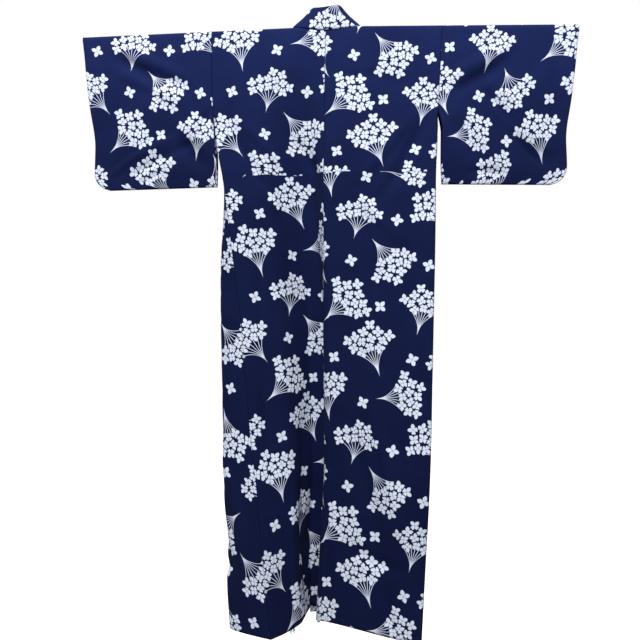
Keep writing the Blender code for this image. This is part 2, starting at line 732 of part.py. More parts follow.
def make_hook(collection):
    """A stem and a round hook open to one side; the rail bears on its inside, at the origin."""
    centre = HOOK_WIRE - HOOK_RADIUS
    foot = POST_TOP_Z + SEAM
    bottom = centre - HOOK_RADIUS
    points = [(0.0, 0.0, foot), (0.0, 0.0, between(foot, bottom, 0.5))]
    for n in range(HOOK_STEPS + 1):
        angle = radians(between(*HOOK_TURN, n / HOOK_STEPS))
        points.append((HOOK_RADIUS * cos(angle), 0.0, centre + HOOK_RADIUS * sin(angle)))
    tube("hanger_hook", points, HOOK_WIRE, collection, "steel")


def build():
    clear_scene()
    collection = bpy.data.collections.new(COLLECTION)
    bpy.context.scene.collection.children.link(collection)
    for name, side in (("left", -1), ("right", 1)):
        wall(f"back_{name}", back_rows(side), CLOTH, collection)
        wall(f"front_{name}", front_rows(side), CLOTH, collection)
        wall(f"overlap_{name}", overlap_rows(side), CLOTH, collection)
        wall(f"sleeve_{name}", sleeve_rows(side), CLOTH, collection, closed=True)
    wall("collar", collar_rows(), COLLAR_WALL, collection)
    wall("collar_cover", cover_rows(), COVER_WALL, collection)
    make_hanger(collection)


build()
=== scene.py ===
"""Looks of a cotton yukata on its hanger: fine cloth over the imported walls, print and finishes.

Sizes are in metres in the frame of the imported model, and in millimetres only in the tables
that `in_metres` and `spots` read.  A point of a piece of cloth is given by `u`, from the
centre-back line, and `drop`, below the shoulder fold, both along the cloth.
"""

from functools import cache
from math import cos, hypot, pi, radians, sin, sqrt

import bmesh
import bpy
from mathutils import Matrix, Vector


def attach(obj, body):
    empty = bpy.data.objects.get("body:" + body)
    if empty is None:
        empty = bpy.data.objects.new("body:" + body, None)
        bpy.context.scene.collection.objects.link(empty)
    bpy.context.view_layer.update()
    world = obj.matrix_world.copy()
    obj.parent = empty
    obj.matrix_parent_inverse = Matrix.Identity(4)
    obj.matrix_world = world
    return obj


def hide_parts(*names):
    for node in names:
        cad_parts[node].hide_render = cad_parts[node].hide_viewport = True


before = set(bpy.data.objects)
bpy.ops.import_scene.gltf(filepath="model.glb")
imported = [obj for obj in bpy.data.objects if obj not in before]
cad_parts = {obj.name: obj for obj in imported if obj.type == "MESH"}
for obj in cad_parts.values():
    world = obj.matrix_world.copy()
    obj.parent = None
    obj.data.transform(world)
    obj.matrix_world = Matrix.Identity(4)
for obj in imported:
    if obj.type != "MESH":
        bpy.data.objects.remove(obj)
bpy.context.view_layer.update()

# -------------------- driving sizes
CLOTH = 0.0015  # wall of one layer of cotton
SEAM = 0.0003  # gap that sewn edges keep
LENGTH = 1.610  # shoulder fold to hem
SHOULDER_HALF = 0.311  # centre back to armhole seam, at the shoulder
BACK_HALF = 0.295  # centre back to side seam, at the hem
SIDE_HALF = 0.297  # centre back to the side seam's top
FRONT_HALF = 0.298  # the same for a front, from its centre line, down to the hem
SIDE_SEAM_TOP = 0.400  # the side seams start this far below the shoulder
SLEEVE_JOIN = 0.230  # how far down the sleeve is sewn to the body
NECK_HALF = 0.090  # centre back to where the neckline meets the shoulder
NECK_DIP = 0.018  # how far the back neckline lies below the shoulder fold
FRONT_SEAM = 0.058  # overlap seam, from the centre line
KENSAKI = 0.250  # top point of the overlap panel, below the shoulder
OVERLAP_WIDTH = 0.150
COLLAR_END = 0.820  # where the collar stops on the overlap's edge
COLLAR_WIDTH = 0.060
COLLAR_WALL = 0.0024  # the collar is folded double
COVER_WALL = 0.0010
COVER_GAP = 0.0010  # the cover is only tacked on, and lies a little loose
COVER_END = 0.340  # the collar's cover stops this far below the shoulder
COVER_INSIDE = 0.026  # its inner layer starts above the hanger's hub
SLEEVE_WIDTH = 0.359
SLEEVE_LENGTH = 0.434
SLEEVE_CORNER = 0.050  # radius of the sleeve's lower outer corner

SHOULDER_Z = -0.165  # top of the cloth over the hanger, at the centre
BEND_RADIUS = 0.01235  # middle of the cloth where it turns over the rod
ROD_DROOP = 0.0192  # each arm falls this much for each metre outward

# -------------------- folds
def in_metres(rows):
    """A table that is given in millimetres."""
    return [[n / 1000 for n in row] for row in rows]


# For each drop, where the centre-back seam lies (x, y), the angles of the left back's pleat,
# floor, climb and face, and those of the right back where it tucks in, leans and ends.  They turn
# the cloth out of the plane of the shoulders, in degrees: positive goes away from the back's side
# (+Y) while walking outward from the seam.
BACK_ROWS = (
    (0.0, 0.001, -0.0126, 0, 0, 0, 0, 0, 0, 0),
    (0.1, -0.002, -0.013, 0, 0, 0, 0, 0, 0, 0),
    (0.2, -0.004, -0.012, 12, 2, -6, -2, 0, 0, 0),
    (0.3, -0.0055, -0.011, 28, 5, -13, -5, -5, -1, 3),
    (0.42, -0.0065, -0.008, 50, 10, -25, -12, -12, -3, 12),
    (0.52, -0.0068, -0.004, 62, 12, -30, -14, -22, -5, 18),
    (0.628, -0.007, 0.0, 74, 16, -33, -16, -32, -7, 22),
    (0.754, -0.0075, 0.005, 86, 23, -38, -18, -42, -10, 25),
    (0.952, -0.0075, 0.012, 92, 28, -48, -21, -50, -15, 28),
    (1.109, -0.0065, 0.018, 97, 27, -54, -24, -56, -18, 30),
    (1.238, -0.008, 0.022, 100, 26, -63, -31, -60, -20, 30),
    (1.42, -0.019, 0.028, 104, 28, -74, -40, -64, -18, 30),
    (1.61, -0.029, 0.032, 118, 38, -77, -49, -65, -18, 28),
)
# How far along the cloth each of those angles starts and ends.
LEFT_FOLDS = (0.0, 0.040, 0.060, 0.085, 0.105, 0.175, 0.200, SHOULDER_HALF)
RIGHT_FOLDS = (0.0, 0.010, 0.026, 0.262, SHOULDER_HALF)
HEM_PEAK = 0.075  # the hem is drawn up most this far to the left of the centre back
HEM_PEAK_HALF = 0.190
HEM_TURN = 0.020  # and from here to the right it comes down over HEM_FADE
HEM_FADE = 0.240
HEM_LIFT_LEFT = 0.024
HEM_LIFT_RIGHT = 0.014

EDGES_MEET_FROM = 0.15  # below this drop a front's side edge closes up on the back's
QUARTER_X = 0.15  # where across the fore side quarter_y, middle_y and far_y are measured
MIDDLE_X = -0.03
FAR_X = 0.17

# At each drop a front follows a smooth line from the side seam (edge_y) out to the silhouette
# (out_x, back_y), round to the fore side (out_x, fore_y) and in across the front (quarter_y,
# middle_y, far_y); the left lies over the right.
LEFT_FRONT_ROWS = in_metres((
    (0, 12.4, -311, 12.4, 12.4, 12.4, 12.4, 12.4),
    (100, 20, -306, 20, 20, 23, 25, 25),
    (200, 22, -300.5, 22, 22, 30, 37, 37),
    (300, 14, -293, 14, 16, 40, 56, 52),
    (420, -20, -276, -8, 10, 52, 80, 68),
    (520, -20, -279, -4, 16, 60, 94, 78),
    (628, -20, -286, 0, 22, 68, 110, 88),
    (754, -15, -287, 0, 26, 76, 126, 98),
    (952, -15, -282, -4, 26, 82, 136, 106),
    (1109, -15, -278, -8, 24, 86, 142, 110),
    (1238, -15, -274, -12, 22, 88, 146, 112),
    (1420, -15, -269, -18, 20, 92, 152, 114),
    (1610, -15, -256, -22, 18, 96, 158, 116),
))
RIGHT_FRONT_ROWS = in_metres((
    (0, 12.4, 311, 12.4, 12.4, 12.4, 12.4, 12.4),
    (100, 20, 308, 20, 20, 23, 24, 24),
    (200, 22, 303, 22, 22, 28, 30, 28),
    (300, 14, 299, 14, 16, 32, 40, 30),
    (420, -10, 292, -4, 16, 40, 62, 34),
    (520, -10, 289, -6, 20, 46, 76, 40),
    (628, -10, 285, -12, 20, 54, 92, 46),
    (754, -10, 278, -20, 16, 62, 108, 52),
    (952, -10, 269, -32, 8, 68, 118, 56),
    (1109, -10, 263, -42, 0, 72, 124, 58),
    (1238, -10, 259, -46, -4, 76, 128, 60),
    (1420, -10, 253, -40, 0, 80, 134, 62),
    (1610, -10, 243, -36, 4, 84, 140, 64),
))

# How far in x, y and z the collar's free edge reaches from its neckline seam, along the right
# half of the neck from the centre back; past the last row the collar lies in the front's line.
NECK_ROWS = in_metres((
    (0, 0, -2, 60), (30, -9, -2, 59), (60, -23, 2, 55), (85, -38, 12, 47),
    (100, -44, 20, 37), (120, -48, 24, 22), (150, -54, 16, 10), (190, -59, 6, 8),
))
# The back neckline is this long on each side; there the collar turns over the shoulder.
NECK_ALONG = 0.0925
FRONT_LINE_FROM = (0.140, 0.190)  # and here it goes over into the front's line
SLANT_TURN = 0.12  # the collar turns from one slant to the next over this length
NORMAL_STEP = 0.006  # its surface's direction is taken over this much to each side
# Round the neck the collar sits this far outside the body's cloth, fading out down the front.
COLLAR_LIFT = 0.0014
COLLAR_LIFT_FADE = (0.115, 0.180)

SLEEVE_FREES = 0.06  # below its seam the sleeve comes away from the body over this drop
SLEEVE_FOLLOWS = 0.25  # this share of its width follows the body's edge
WRIST_FROM = 0.55  # its layers start to part for the wrist at this share of its width
WRIST_OVER = 0.45

# For each drop, how far the left and the right sleeve's inner edge and their outer edge lean in
# toward the body, and half the gap between back and front, over most of the width and at the
# wrist.
SLEEVE_ROWS = in_metres((
    (0, 0, 0, 0, 12.4, 12.4), (60, 1, 1, 9, 16, 16), (120, 2, 2, 16, 19.5, 18.5),
    (200, 5, 3.5, 26, 22, 18.5), (300, 12, 5, 39, 20, 10), (370, 17, 6.5, 36, 13, 1.4),
    (434, 18, 6.5, 36, 1.4, 1.4),
))
# Soft troughs in the sleeves, from one point to another: how far out from the armhole and how
# far down each starts and ends, its half width and its depth.
SLEEVE_CREASES = in_metres(((110, 60, 330, 330, 60, 6), (20, 160, 250, 400, 55, 5)))

QUARTER_TURN = BEND_RADIUS * pi / 2


def row_at(rows, key):
    """A table's other columns at a value of its first, on a smooth line through its rows."""
    if key <= rows[0][0]:
        return rows[0][1:]
    if key >= rows[-1][0]:
        return rows[-1][1:]
    i = max(n for n in range(len(rows) - 1) if rows[n][0] <= key)
    before, low = rows[max(i - 1, 0)], rows[i]
    high, after = rows[i + 1], rows[min(i + 2, len(rows) - 1)]
    span = high[0] - low[0]
    t = (key - low[0]) / span
    found = []
    for a, b, c, d in zip(before[1:], low[1:], high[1:], after[1:]):
        rise = (c - a) / (high[0] - before[0]) * span
        fall = (d - b) / (after[0] - low[0]) * span
        found.append(
            (2 * t**3 - 3 * t**2 + 1) * b + (t**3 - 2 * t**2 + t) * rise
            + (3 * t**2 - 2 * t**3) * c + (t**3 - t**2) * fall
        )
    return found


def between(low, high, t):
    return low + (high - low) * t


def eased(t):
    t = min(max(t, 0.0), 1.0)
    return t * t * (3 - 2 * t)


def ramp(value, low, high):
    """A smooth rise from 0 at low to 1 at high."""
    return eased((value - low) / (high - low))


def beside(line, out, drop):
    """What share of a line is passed at a place, and how far off the line the place is."""
    out0, drop0, out1, drop1 = line
    run_x, run_y = out1 - out0, drop1 - drop0
    length = hypot(run_x, run_y)
    t = ((out - out0) * run_x + (drop - drop0) * run_y) / length**2
    return t, ((out - out0) * run_y - (drop - drop0) * run_x) / length


def down(drop):
    """Height lost below the shoulder fold by cloth that goes round the rod and hangs."""
    if drop < QUARTER_TURN:
        return CLOTH / 2 + BEND_RADIUS * (1 - cos(drop / BEND_RADIUS))
    return CLOTH / 2 + BEND_RADIUS + drop - QUARTER_TURN


def round_rod(drop):
    """How far from the rod's upright plane the cloth lies at a drop near the fold."""
    return BEND_RADIUS * sin(min(drop, QUARTER_TURN) / BEND_RADIUS)


def back_half(drop):
    """Width of half the back, from the shoulder down to the side seam and the hem."""
    if drop < SIDE_SEAM_TOP:
        return between(SHOULDER_HALF, SIDE_HALF, drop / SIDE_SEAM_TOP)
    return between(SIDE_HALF, BACK_HALF, (drop - SIDE_SEAM_TOP) / (LENGTH - SIDE_SEAM_TOP))


def front_inner(drop):
    """u of the front panel's inner edge: the collar's slant, then the overlap's seam."""
    return between(NECK_HALF, FRONT_SEAM, min(drop / KENSAKI, 1.0))


def front_side(drop):
    return between(SHOULDER_HALF, FRONT_HALF, min(drop / SIDE_SEAM_TOP, 1.0))


def overlap_edge(drop):
    """u of the overlap's outer edge: along the collar down to its end, then straight."""
    t = min(max((drop - KENSAKI) / (COLLAR_END - KENSAKI), 0.0), 1.0)
    return FRONT_SEAM - OVERLAP_WIDTH * t


def hem_lift(u, drop):
    """The hem is drawn up a little along the deep fold at the centre back."""
    if u < HEM_TURN:
        across = eased(1 - abs(u + HEM_PEAK) / HEM_PEAK_HALF)
    else:
        across = eased(1 - (u - HEM_TURN) / HEM_FADE)
    return between(0.0, HEM_LIFT_LEFT if u < 0 else HEM_LIFT_RIGHT, across) * eased(drop / LENGTH)


def angle_at(knots, distance):
    for (s0, a0), (s1, a1) in zip(knots, knots[1:]):
        if distance <= s1:
            return between(a0, a1, ramp(distance, s0, s1))
    return knots[-1][1]


def walk(side, start, knots, distances, step=0.0025):
    """Points at true distances along a line whose heading is given by knots."""
    x, y = start
    s = 0.0
    points = []
    for distance in distances:
        count = max(1, round((distance - s) / step))
        stride = (distance - s) / count
        for n in range(count):
            angle = radians(angle_at(knots, s + (n + 0.5) * stride))
            x += side * stride * cos(angle)
            y += stride * sin(angle)
        s = distance
        points.append((x, y))
    return points


def back_line(side, drop, distances):
    """Plan of half the back, from the centre seam outward."""
    x, y, pleat, floor, climb, face, tuck_in, lean, outer = row_at(BACK_ROWS, drop)
    if drop <= QUARTER_TURN:
        y = -round_rod(drop)
    if side < 0:
        knots = zip(LEFT_FOLDS, (pleat, pleat, floor, floor, climb, climb, face, face))
    else:
        knots = zip(RIGHT_FOLDS, (tuck_in, tuck_in, lean, lean, outer))
    return walk(side, (x, y), list(knots), distances)


def rounded(controls, pieces=8):
    """A smooth line that starts at the first control and rounds off the others."""
    corners = controls[1:-1]
    middles = [(p + q) / 2 for p, q in zip(corners, corners[1:])]
    ends = [controls[0], *middles, controls[-1]]
    points = [controls[0]]
    for start, corner, end in zip(ends, corners, ends[1:]):
        for n in range(1, pieces + 1):
            t = n / pieces
            points.append(between(between(start, corner, t), between(corner, end, t), t))
    return points


def along(points, distance):
    """The point at a distance along a line, which runs on straight past its end."""
    for start, end in zip(points, points[1:]):
        length = (end - start).length
        if length > 0 and (distance <= length or end is points[-1]):
            return between(start, end, distance / length)
        distance -= length
    return points[-1]


@cache
def side_edge(side, drop):
    """Where the back meets the side seam."""
    return back_line(side, drop, (back_half(drop),))[0]


@cache
def front_line(side, drop):
    """Plan of one front, from its side edge round to the fore side and across."""
    rows = LEFT_FRONT_ROWS if side < 0 else RIGHT_FRONT_ROWS
    edge_y, out_x, back_y, fore_y, quarter_y, middle_y, far_y = row_at(rows, drop)
    if drop <= QUARTER_TURN:
        edge_y = round_rod(drop)
    seam_x, seam_y = side_edge(side, drop)
    start = (seam_x, between(edge_y, seam_y, ramp(drop, EDGES_MEET_FROM, SIDE_SEAM_TOP)))
    if drop < QUARTER_TURN:
        return [Vector(p) for p in (start, (0.0, edge_y), (-side * FAR_X, edge_y))]
    return rounded([Vector(p) for p in (
        start, (out_x, back_y), (out_x, fore_y), (side * QUARTER_X, quarter_y),
        (MIDDLE_X, middle_y), (-side * FAR_X, far_y),
    )])


def height(u, drop):
    return SHOULDER_Z - down(drop) - ROD_DROOP * abs(u)


def back_points(side, us, drop):
    """Points of the back at one drop, for rising values of u."""
    line = back_line(side, drop, us)
    return [(x, y, height(u, drop) + hem_lift(side * u, drop)) for u, (x, y) in zip(us, line)]


def front_points(side, us, drop):
    """Points of a front, its overlap or its collar at one drop."""
    line = front_line(side, drop)
    return [(*along(line, front_side(drop) - u), height(u, drop)) for u in us]


def neckline(u):
    """Drop of the back neckline's seam."""
    return NECK_DIP * (1 - (u / NECK_HALF) ** 2)


def collar_seam(distance):
    """The collar's seam, as u and drop, at a distance from the centre back, and the way inward
    from it in the cloth of the front."""
    if distance < NECK_ALONG:
        u = NECK_HALF * distance / NECK_ALONG
        return (u, neckline(u)), Vector((-1.0, 0.0))
    corner = Vector((FRONT_SEAM, KENSAKI))
    upper = corner - Vector((NECK_HALF, 0.0))
    lower = Vector((FRONT_SEAM - OVERLAP_WIDTH, COLLAR_END)) - corner
    past = distance - NECK_ALONG - upper.length
    upper.normalize()
    lower.normalize()
    slant = between(upper, lower, eased(past / SLANT_TURN + 0.5))
    return corner + past * (upper if past < 0 else lower), Vector((-slant.y, slant.x))


def collar_base(side, distance, across):
    """A point of the collar's own surface, which carries on from the body's cloth."""
    (u, drop), inward = collar_seam(distance)
    body_points = back_points if distance < NECK_ALONG else front_points
    x, y, z = row_at(NECK_ROWS, distance)
    reach = Vector((side * x, y, z)) * across / COLLAR_WIDTH
    stood = Vector(body_points(side, (u,), drop)[0]) + reach
    if distance < FRONT_LINE_FROM[0]:
        return stood
    laid_drop = max(drop + inward.y * across, 0.0)
    laid = Vector(front_points(side, (u + inward.x * across,), laid_drop)[0])
    return between(stood, laid, ramp(distance, *FRONT_LINE_FROM))


def collar_normal(side, distance, across):
    """Unit vector out of the collar's right side, which faces away from the neck."""
    ahead = collar_base(side, distance + NORMAL_STEP, across)
    behind = collar_base(side, max(distance - NORMAL_STEP, 0.0), across)
    free = collar_base(side, distance, min(across + NORMAL_STEP, COLLAR_WIDTH))
    seam = collar_base(side, distance, max(across - NORMAL_STEP, 0.0))
    return side * (ahead - behind).cross(free - seam).normalized()


def collar_point(side, distance, across, off):
    """A point that lies `off` outside the collar's own surface."""
    lift = off + COLLAR_LIFT * (1 - ramp(distance, *COLLAR_LIFT_FADE))
    return collar_base(side, distance, across) + lift * collar_normal(side, distance, across)


def sleeve_point(side, layer, share, drop):
    """A point of a sleeve: layer -1 is its back and 1 its front, share runs out to the wrist."""
    left, right, lean, gap, wrist_gap = row_at(SLEEVE_ROWS, drop)
    past_corner = max(drop - (SLEEVE_LENGTH - SLEEVE_CORNER), 0.0)
    cut_back = SLEEVE_CORNER - sqrt(max(SLEEVE_CORNER**2 - past_corner**2, 0.0))
    outer = SHOULDER_HALF + SLEEVE_WIDTH - lean - cut_back
    edge_x, edge_y = side_edge(side, drop) if layer < 0 else front_line(side, drop)[0]
    sewn = 1 - eased((drop - SLEEVE_JOIN) / SLEEVE_FREES)
    inner = SHOULDER_HALF - (left if side < 0 else right) + CLOTH / 2 + 2 * SEAM
    x = between(between(inner, abs(edge_x), sewn), outer, share)
    half = between(gap, wrist_gap, eased((share - WRIST_FROM) / WRIST_OVER))
    if drop < QUARTER_TURN:
        half = round_rod(drop)
    y = between(layer * half, edge_y, sewn * (1 - eased(share / SLEEVE_FOLLOWS)))
    for *line, half_width, depth in SLEEVE_CREASES:
        t, off = beside(line, x - SHOULDER_HALF, drop)
        y -= layer * depth * eased(1 - abs(off) / half_width) * eased(1 - (2 * t - 1) ** 2)
    return side * x, y, height(x, drop)


# -------------------- camera
CAMERA_SIDE = 0.0948
CAMERA_BACK = 1.8477
CAMERA_BELOW_SHOULDER = 0.8518
CAMERA_TURN = 3.446  # degrees, anticlockwise from above
CAMERA_PITCH = 1.816
CAMERA_LENS = 39.05  # millimetres on a sensor 36 mm wide


def added(name, data):
    """A new object in the scene."""
    made = bpy.data.objects.new(name, data)
    bpy.context.scene.collection.objects.link(made)
    return made


def make_camera():
    data = bpy.data.cameras.new("camera")
    data.lens = CAMERA_LENS
    data.sensor_width = 36.0
    camera = added("camera", data)
    camera.location = (CAMERA_SIDE, -CAMERA_BACK, SHOULDER_Z - CAMERA_BELOW_SHOULDER)
    camera.rotation_euler = (radians(90 + CAMERA_PITCH), 0.0, radians(CAMERA_TURN))
    bpy.context.scene.camera = camera


# -------------------- shader helpers
class Number:
    """A number that a node gives.  Sums and comparisons with it add nodes to its shader."""

    def __init__(self, shader, socket):
        self.shader, self.socket = shader, socket


OPERATIONS = (
    ("add", "ADD"), ("sub", "SUBTRACT"), ("mul", "MULTIPLY"), ("truediv", "DIVIDE"),
    ("lt", "LESS_THAN"), ("gt", "GREATER_THAN"), ("abs", "ABSOLUTE"),
)
for own, kind in OPERATIONS:
    setattr(Number, f"__{own}__", lambda *values, kind=kind: values[0].shader.math(kind, *values))


class Shader:
    """The node tree of a material or a world, with one short method for each kind of node."""

    def __init__(self, owner):
        self.material = owner
        owner.use_nodes = True
        self.tree = owner.node_tree
        self.main = self.tree.nodes.get("Principled BSDF")

    def node(self, kind, *values, **settings):
        """A node with its first sockets fed."""
        made = self.tree.nodes.new("ShaderNode" + kind)
        for key, value in settings.items():
            setattr(made, key, value)
        for socket, value in zip(made.inputs, values):
            self.feed(socket, value)
        return made

    def feed(self, socket, value):
        if isinstance(value, Number):
            value = value.socket
        if isinstance(value, bpy.types.NodeSocket):
            self.tree.links.new(value, socket)
        else:
            socket.default_value = value

    def fed(self, made, **values):
        """A node with some sockets fed by name, with _ for each space in it."""
        for name, value in values.items():
            self.feed(made.inputs[name.replace("_", " ")], value)
        return made

    def surface(self, **values):
        self.fed(self.main, **values)

    def math(self, operation, *values):
        return Number(self, self.node("Math", *values, operation=operation).outputs[0])

    def vector(self, operation, *values):
        made = self.node("VectorMath", *values, operation=operation)
        if operation == "LENGTH":
            return Number(self, made.outputs["Value"])
        return made.outputs["Vector"]

    def turned(self, vector, angle):
        made = self.node("VectorRotate", rotation_type="Z_AXIS")
        return self.fed(made, Vector=vector, Angle=angle).outputs[0]

    def split(self, vector):
        return [Number(self, part) for part in self.node("SeparateXYZ", vector).outputs]

    def joined(self, x, y, z=0.0):
        return self.node("CombineXYZ", x, y, z).outputs[0]

    def mixed(self, first, out, amount, no, yes, **settings):
        """A mix whose first input and whose output have these places in the node's lists."""
        made = self.node("Mix", amount, **settings)
        self.feed(made.inputs[first], no)
        self.feed(made.inputs[first + 1], yes)
        return made.outputs[out]

    def pick(self, chooser, no, yes):
        """One of two vectors."""
        return self.mixed(4, 1, chooser, no, yes, data_type="VECTOR")

    def colour(self, amount, no, yes, blend="MIX"):
        return self.mixed(6, 2, amount, no, yes, data_type="RGBA", blend_type=blend)

    def darkened(self, colour, amount):
        return self.colour(1.0, colour, self.joined(amount, amount, amount), "MULTIPLY")

    def within(self, distance, limit, softness):
        """1 where a distance is under its limit, with a soft edge."""
        left = self.math("SUBTRACT", limit, distance)
        scaled = self.math("MULTIPLY_ADD", left, 1 / softness, 0.5)
        return Number(self, self.node("Clamp", scaled, 0.0, 1.0).outputs[0])

    def ranged(self, value, *ends):
        """A value carried from one range (low, high) to another."""
        return Number(self, self.node("MapRange", value, *ends).outputs[0])

    def noise(self, vector, scale, detail=2.0):
        made = self.fed(self.node("TexNoise"), Vector=vector, Scale=scale, Detail=detail)
        return Number(self, made.outputs["Fac"])

    def seen(self):
        """1 for the camera's own rays and 0 for all others."""
        return self.node("LightPath").outputs["Is Camera Ray"]

    def place(self):
        """Where a point lies, in metres."""
        return self.node("TexCoord").outputs["Object"]

    def flat_map(self, name):
        return self.node("UVMap", uv_map=name).outputs[0]

    def bump(self, raised, strength, depth):
        """Relief over any that the surface already has."""
        made = self.fed(self.node("Bump"), Strength=strength, Distance=depth, Height=raised)
        for link in self.main.inputs["Normal"].links:
            self.feed(made.inputs["Normal"], link.from_socket)
        self.surface(Normal=made.outputs[0])


def new_shader(name):
    return Shader(bpy.data.materials.new(name))


# -------------------- the printed cotton
# The print repeats over this much cloth.  Sprays and single florets are placed in it one by one.
REPEAT = (0.400, 0.600)
FAR_AWAY = 1.0  # further than any spot
MOST_TURNED = 20.0  # more radians than any turn and kind below
# These tables are in millimetres and degrees.  Each spray's place, its turn and its kind, which
# is 0 where its head is round and 1 where it is long; 2 and 3 are their mirrors.
SPRAYS = (
    (34, 56, 20, 1), (240, 55, 200, 2), (118, 180, 320, 3), (319, 170, 100, 0), (205, 300, 165, 1),
    (3, 286, 350, 3), (280, 412, 40, 2), (78, 423, 215, 1), (372, 548, 300, 3), (163, 537, 128, 0),
)
# The place and the turn of each single floret.
SINGLES = (
    (140, 80, 10), (348, 74, 65), (220, 195, 75), (26, 192, 50), (99, 303, 20), (302, 310, 35),
    (182, 420, 60), (386, 430, 25), (262, 540, 5),
)
# Florets of a round and of a long head: how far aside and how far out from the tip of the stalk
# each one lies, and its own turn.
ROUND_HEAD = (
    (-26, 77, 40), (-1, 84, 0), (23, 75, 65), (-45, 93, 75), (-18, 104, 20), (10, 104, 45),
    (38, 91, 10), (-53, 116, 30), (-32, 120, 50), (-5, 127, 80), (34, 116, 60), (19, 140, 15),
    (60, 98, 70),
)
LONG_HEAD = (
    (-37, 77, 10), (-14, 85, 50), (11, 84, 25), (35, 75, 75), (56, 60, 35), (-54, 94, 5),
    (-31, 103, 60), (-7, 107, 20), (18, 106, 45), (42, 97, 70), (64, 82, 65), (-22, 126, 30),
    (8, 129, 80),
)
SPRAY_MIDDLE = 0.076  # from the stalk's tip
SPRAY_SCALE = 1.10  # the sprays are this much smaller than the tables above
SPRAY_VARIES = 0.07  # some are this much larger again and some this much smaller
PETAL_OUT = 0.0090  # from the floret's middle to a petal's
PETAL_LONG = 0.0077
PETAL_WIDE = 0.0058
PETAL_POINT = 35  # how fast a petal narrows away from its middle
FLORET_REACH = 0.0170
FLORET_HEART = 0.0030  # the petals join in a disc of this radius
FLORET_PARTING = 0.0025
PISTIL = 0.0026
PISTIL_EDGE = 0.0015
STALK_LENGTH = 0.023
STALK_FADE = 0.004
STALK_WIDTH = 0.0028
STALK_OPENS = 1.5  # its width grows with this power of the distance from its tip
STEM_WIDTH = 0.00085
STEMS = 7
STEM_SPREAD = (7.0, 28.0)  # degrees at the stalk's end and under the florets
STEM_LEAN = 7.0  # those of a long head lean this far
STEM_WIDER = 0.28  # and spread this much more
STEM_START = 0.8  # they start at this share of the stalk
STEM_END = 0.082
STEM_FADE = 0.003
FAN_EDGE = (0.3, 0.1)  # the outer stems end this far short of a whole step, and how softly
EDGE = 0.0005  # softness of the print's edges
YARN = 0.0011  # from one yarn to the next but one
WARP = (1.0, 0.05, 1.0)  # how much faster its unevenness changes across a yarn than along it
WEFT = (0.05, 1.0, 1.0)

NAVY = (0.0064, 0.0110, 0.0505, 1.0)
WHITE = (0.68, 0.735, 0.880, 1.0)
PISTIL_GREEN = (0.28, 0.38, 0.42, 1.0)
PISTIL_STRENGTH = 0.8
THREAD = (0.030, 0.045, 0.130, 1.0)
# Half the strength of the navy, from the hem up to the shoulder: painted light and shade, the navy
# painted lighter towards the shoulder and darker towards the hem.
NAVY_PAINTED_TOP_LIGHT = ((0.0, 0.42), (0.35, 0.45), (0.70, 0.52), (0.86, 0.66), (1.0, 0.82))
SEAM_GROOVE = 0.0005
# Painted shade: the seams' grooves are painted darker in the cloth's colour.
SEAM_SHADE = 0.3  # how much darker the groove is
HEM_FOLD = 0.015  # depth of the hem, turned in and stitched blind
STITCH_STEP = 0.020
STITCH_BELOW = 0.0015  # the stitches lie this far below the fold's edge
STITCH_LONG = 0.0011  # half of each stitch's length and width
STITCH_WIDE = 0.0005

NOISE_RANGE = (0.3, 0.7)  # most of a noise lies between these
IVORY = ((0.80, 0.79, 0.75, 1.0), (0.88, 0.87, 0.84, 1.0))
DRAWN = (1.0, 1.0, 0.1)  # the wire's grain runs along its length
STEEL = ((0.55, 0.55, 0.56, 1.0), (0.70, 0.70, 0.71, 1.0))


def spots(rows, middle=0.0):
    """A table's places, from a middle and in metres, each with minus its turn and its kind."""
    return [
        (x / 1000, y / 1000 - middle, -radians(turn + 360 * sum(kind)))
        for x, y, turn, *kind in rows
    ]


def nearest(shader, place, among, wrapped):
    """Of several spots, the nearest one's own frame and its turn, how far away it is and how
    much further the next one is."""
    flat = (1.0, 1.0, 0.0)
    half = (REPEAT[0] / 2, REPEAT[1] / 2, MOST_TURNED)
    best = second = FAR_AWAY
    chosen = (0.0, 0.0, 0.0)
    for spot in among:
        away = shader.vector("SUBTRACT", place, spot)
        if wrapped:
            away = shader.vector("WRAP", away, half, tuple(-h for h in half))
        distance = shader.vector("LENGTH", shader.vector("MULTIPLY", away, flat))
        chosen = shader.pick(distance < best, chosen, away)
        second = shader.math("MINIMUM", second, shader.math("MAXIMUM", best, distance))
        best = shader.math("MINIMUM", best, distance)
    turn = shader.split(chosen)[2]
    turned = shader.turned(shader.vector("MULTIPLY", chosen, flat), turn)
    return turned, turn, best, second - best


def petals(shader, local):
    """Four petals round a floret's middle."""
    x, y, _ = shader.split(local)
    x, y = abs(x), abs(y)
    root = 1 / sqrt(2)
    out = (x + y) * root - PETAL_OUT
    across = (x - y) * root * (abs(out) * PETAL_POINT + 1.0)
    oval = shader.joined(out / PETAL_LONG, across / PETAL_WIDE)
    return shader.within(shader.vector("LENGTH", oval), 1.0, EDGE / PETAL_WIDE)


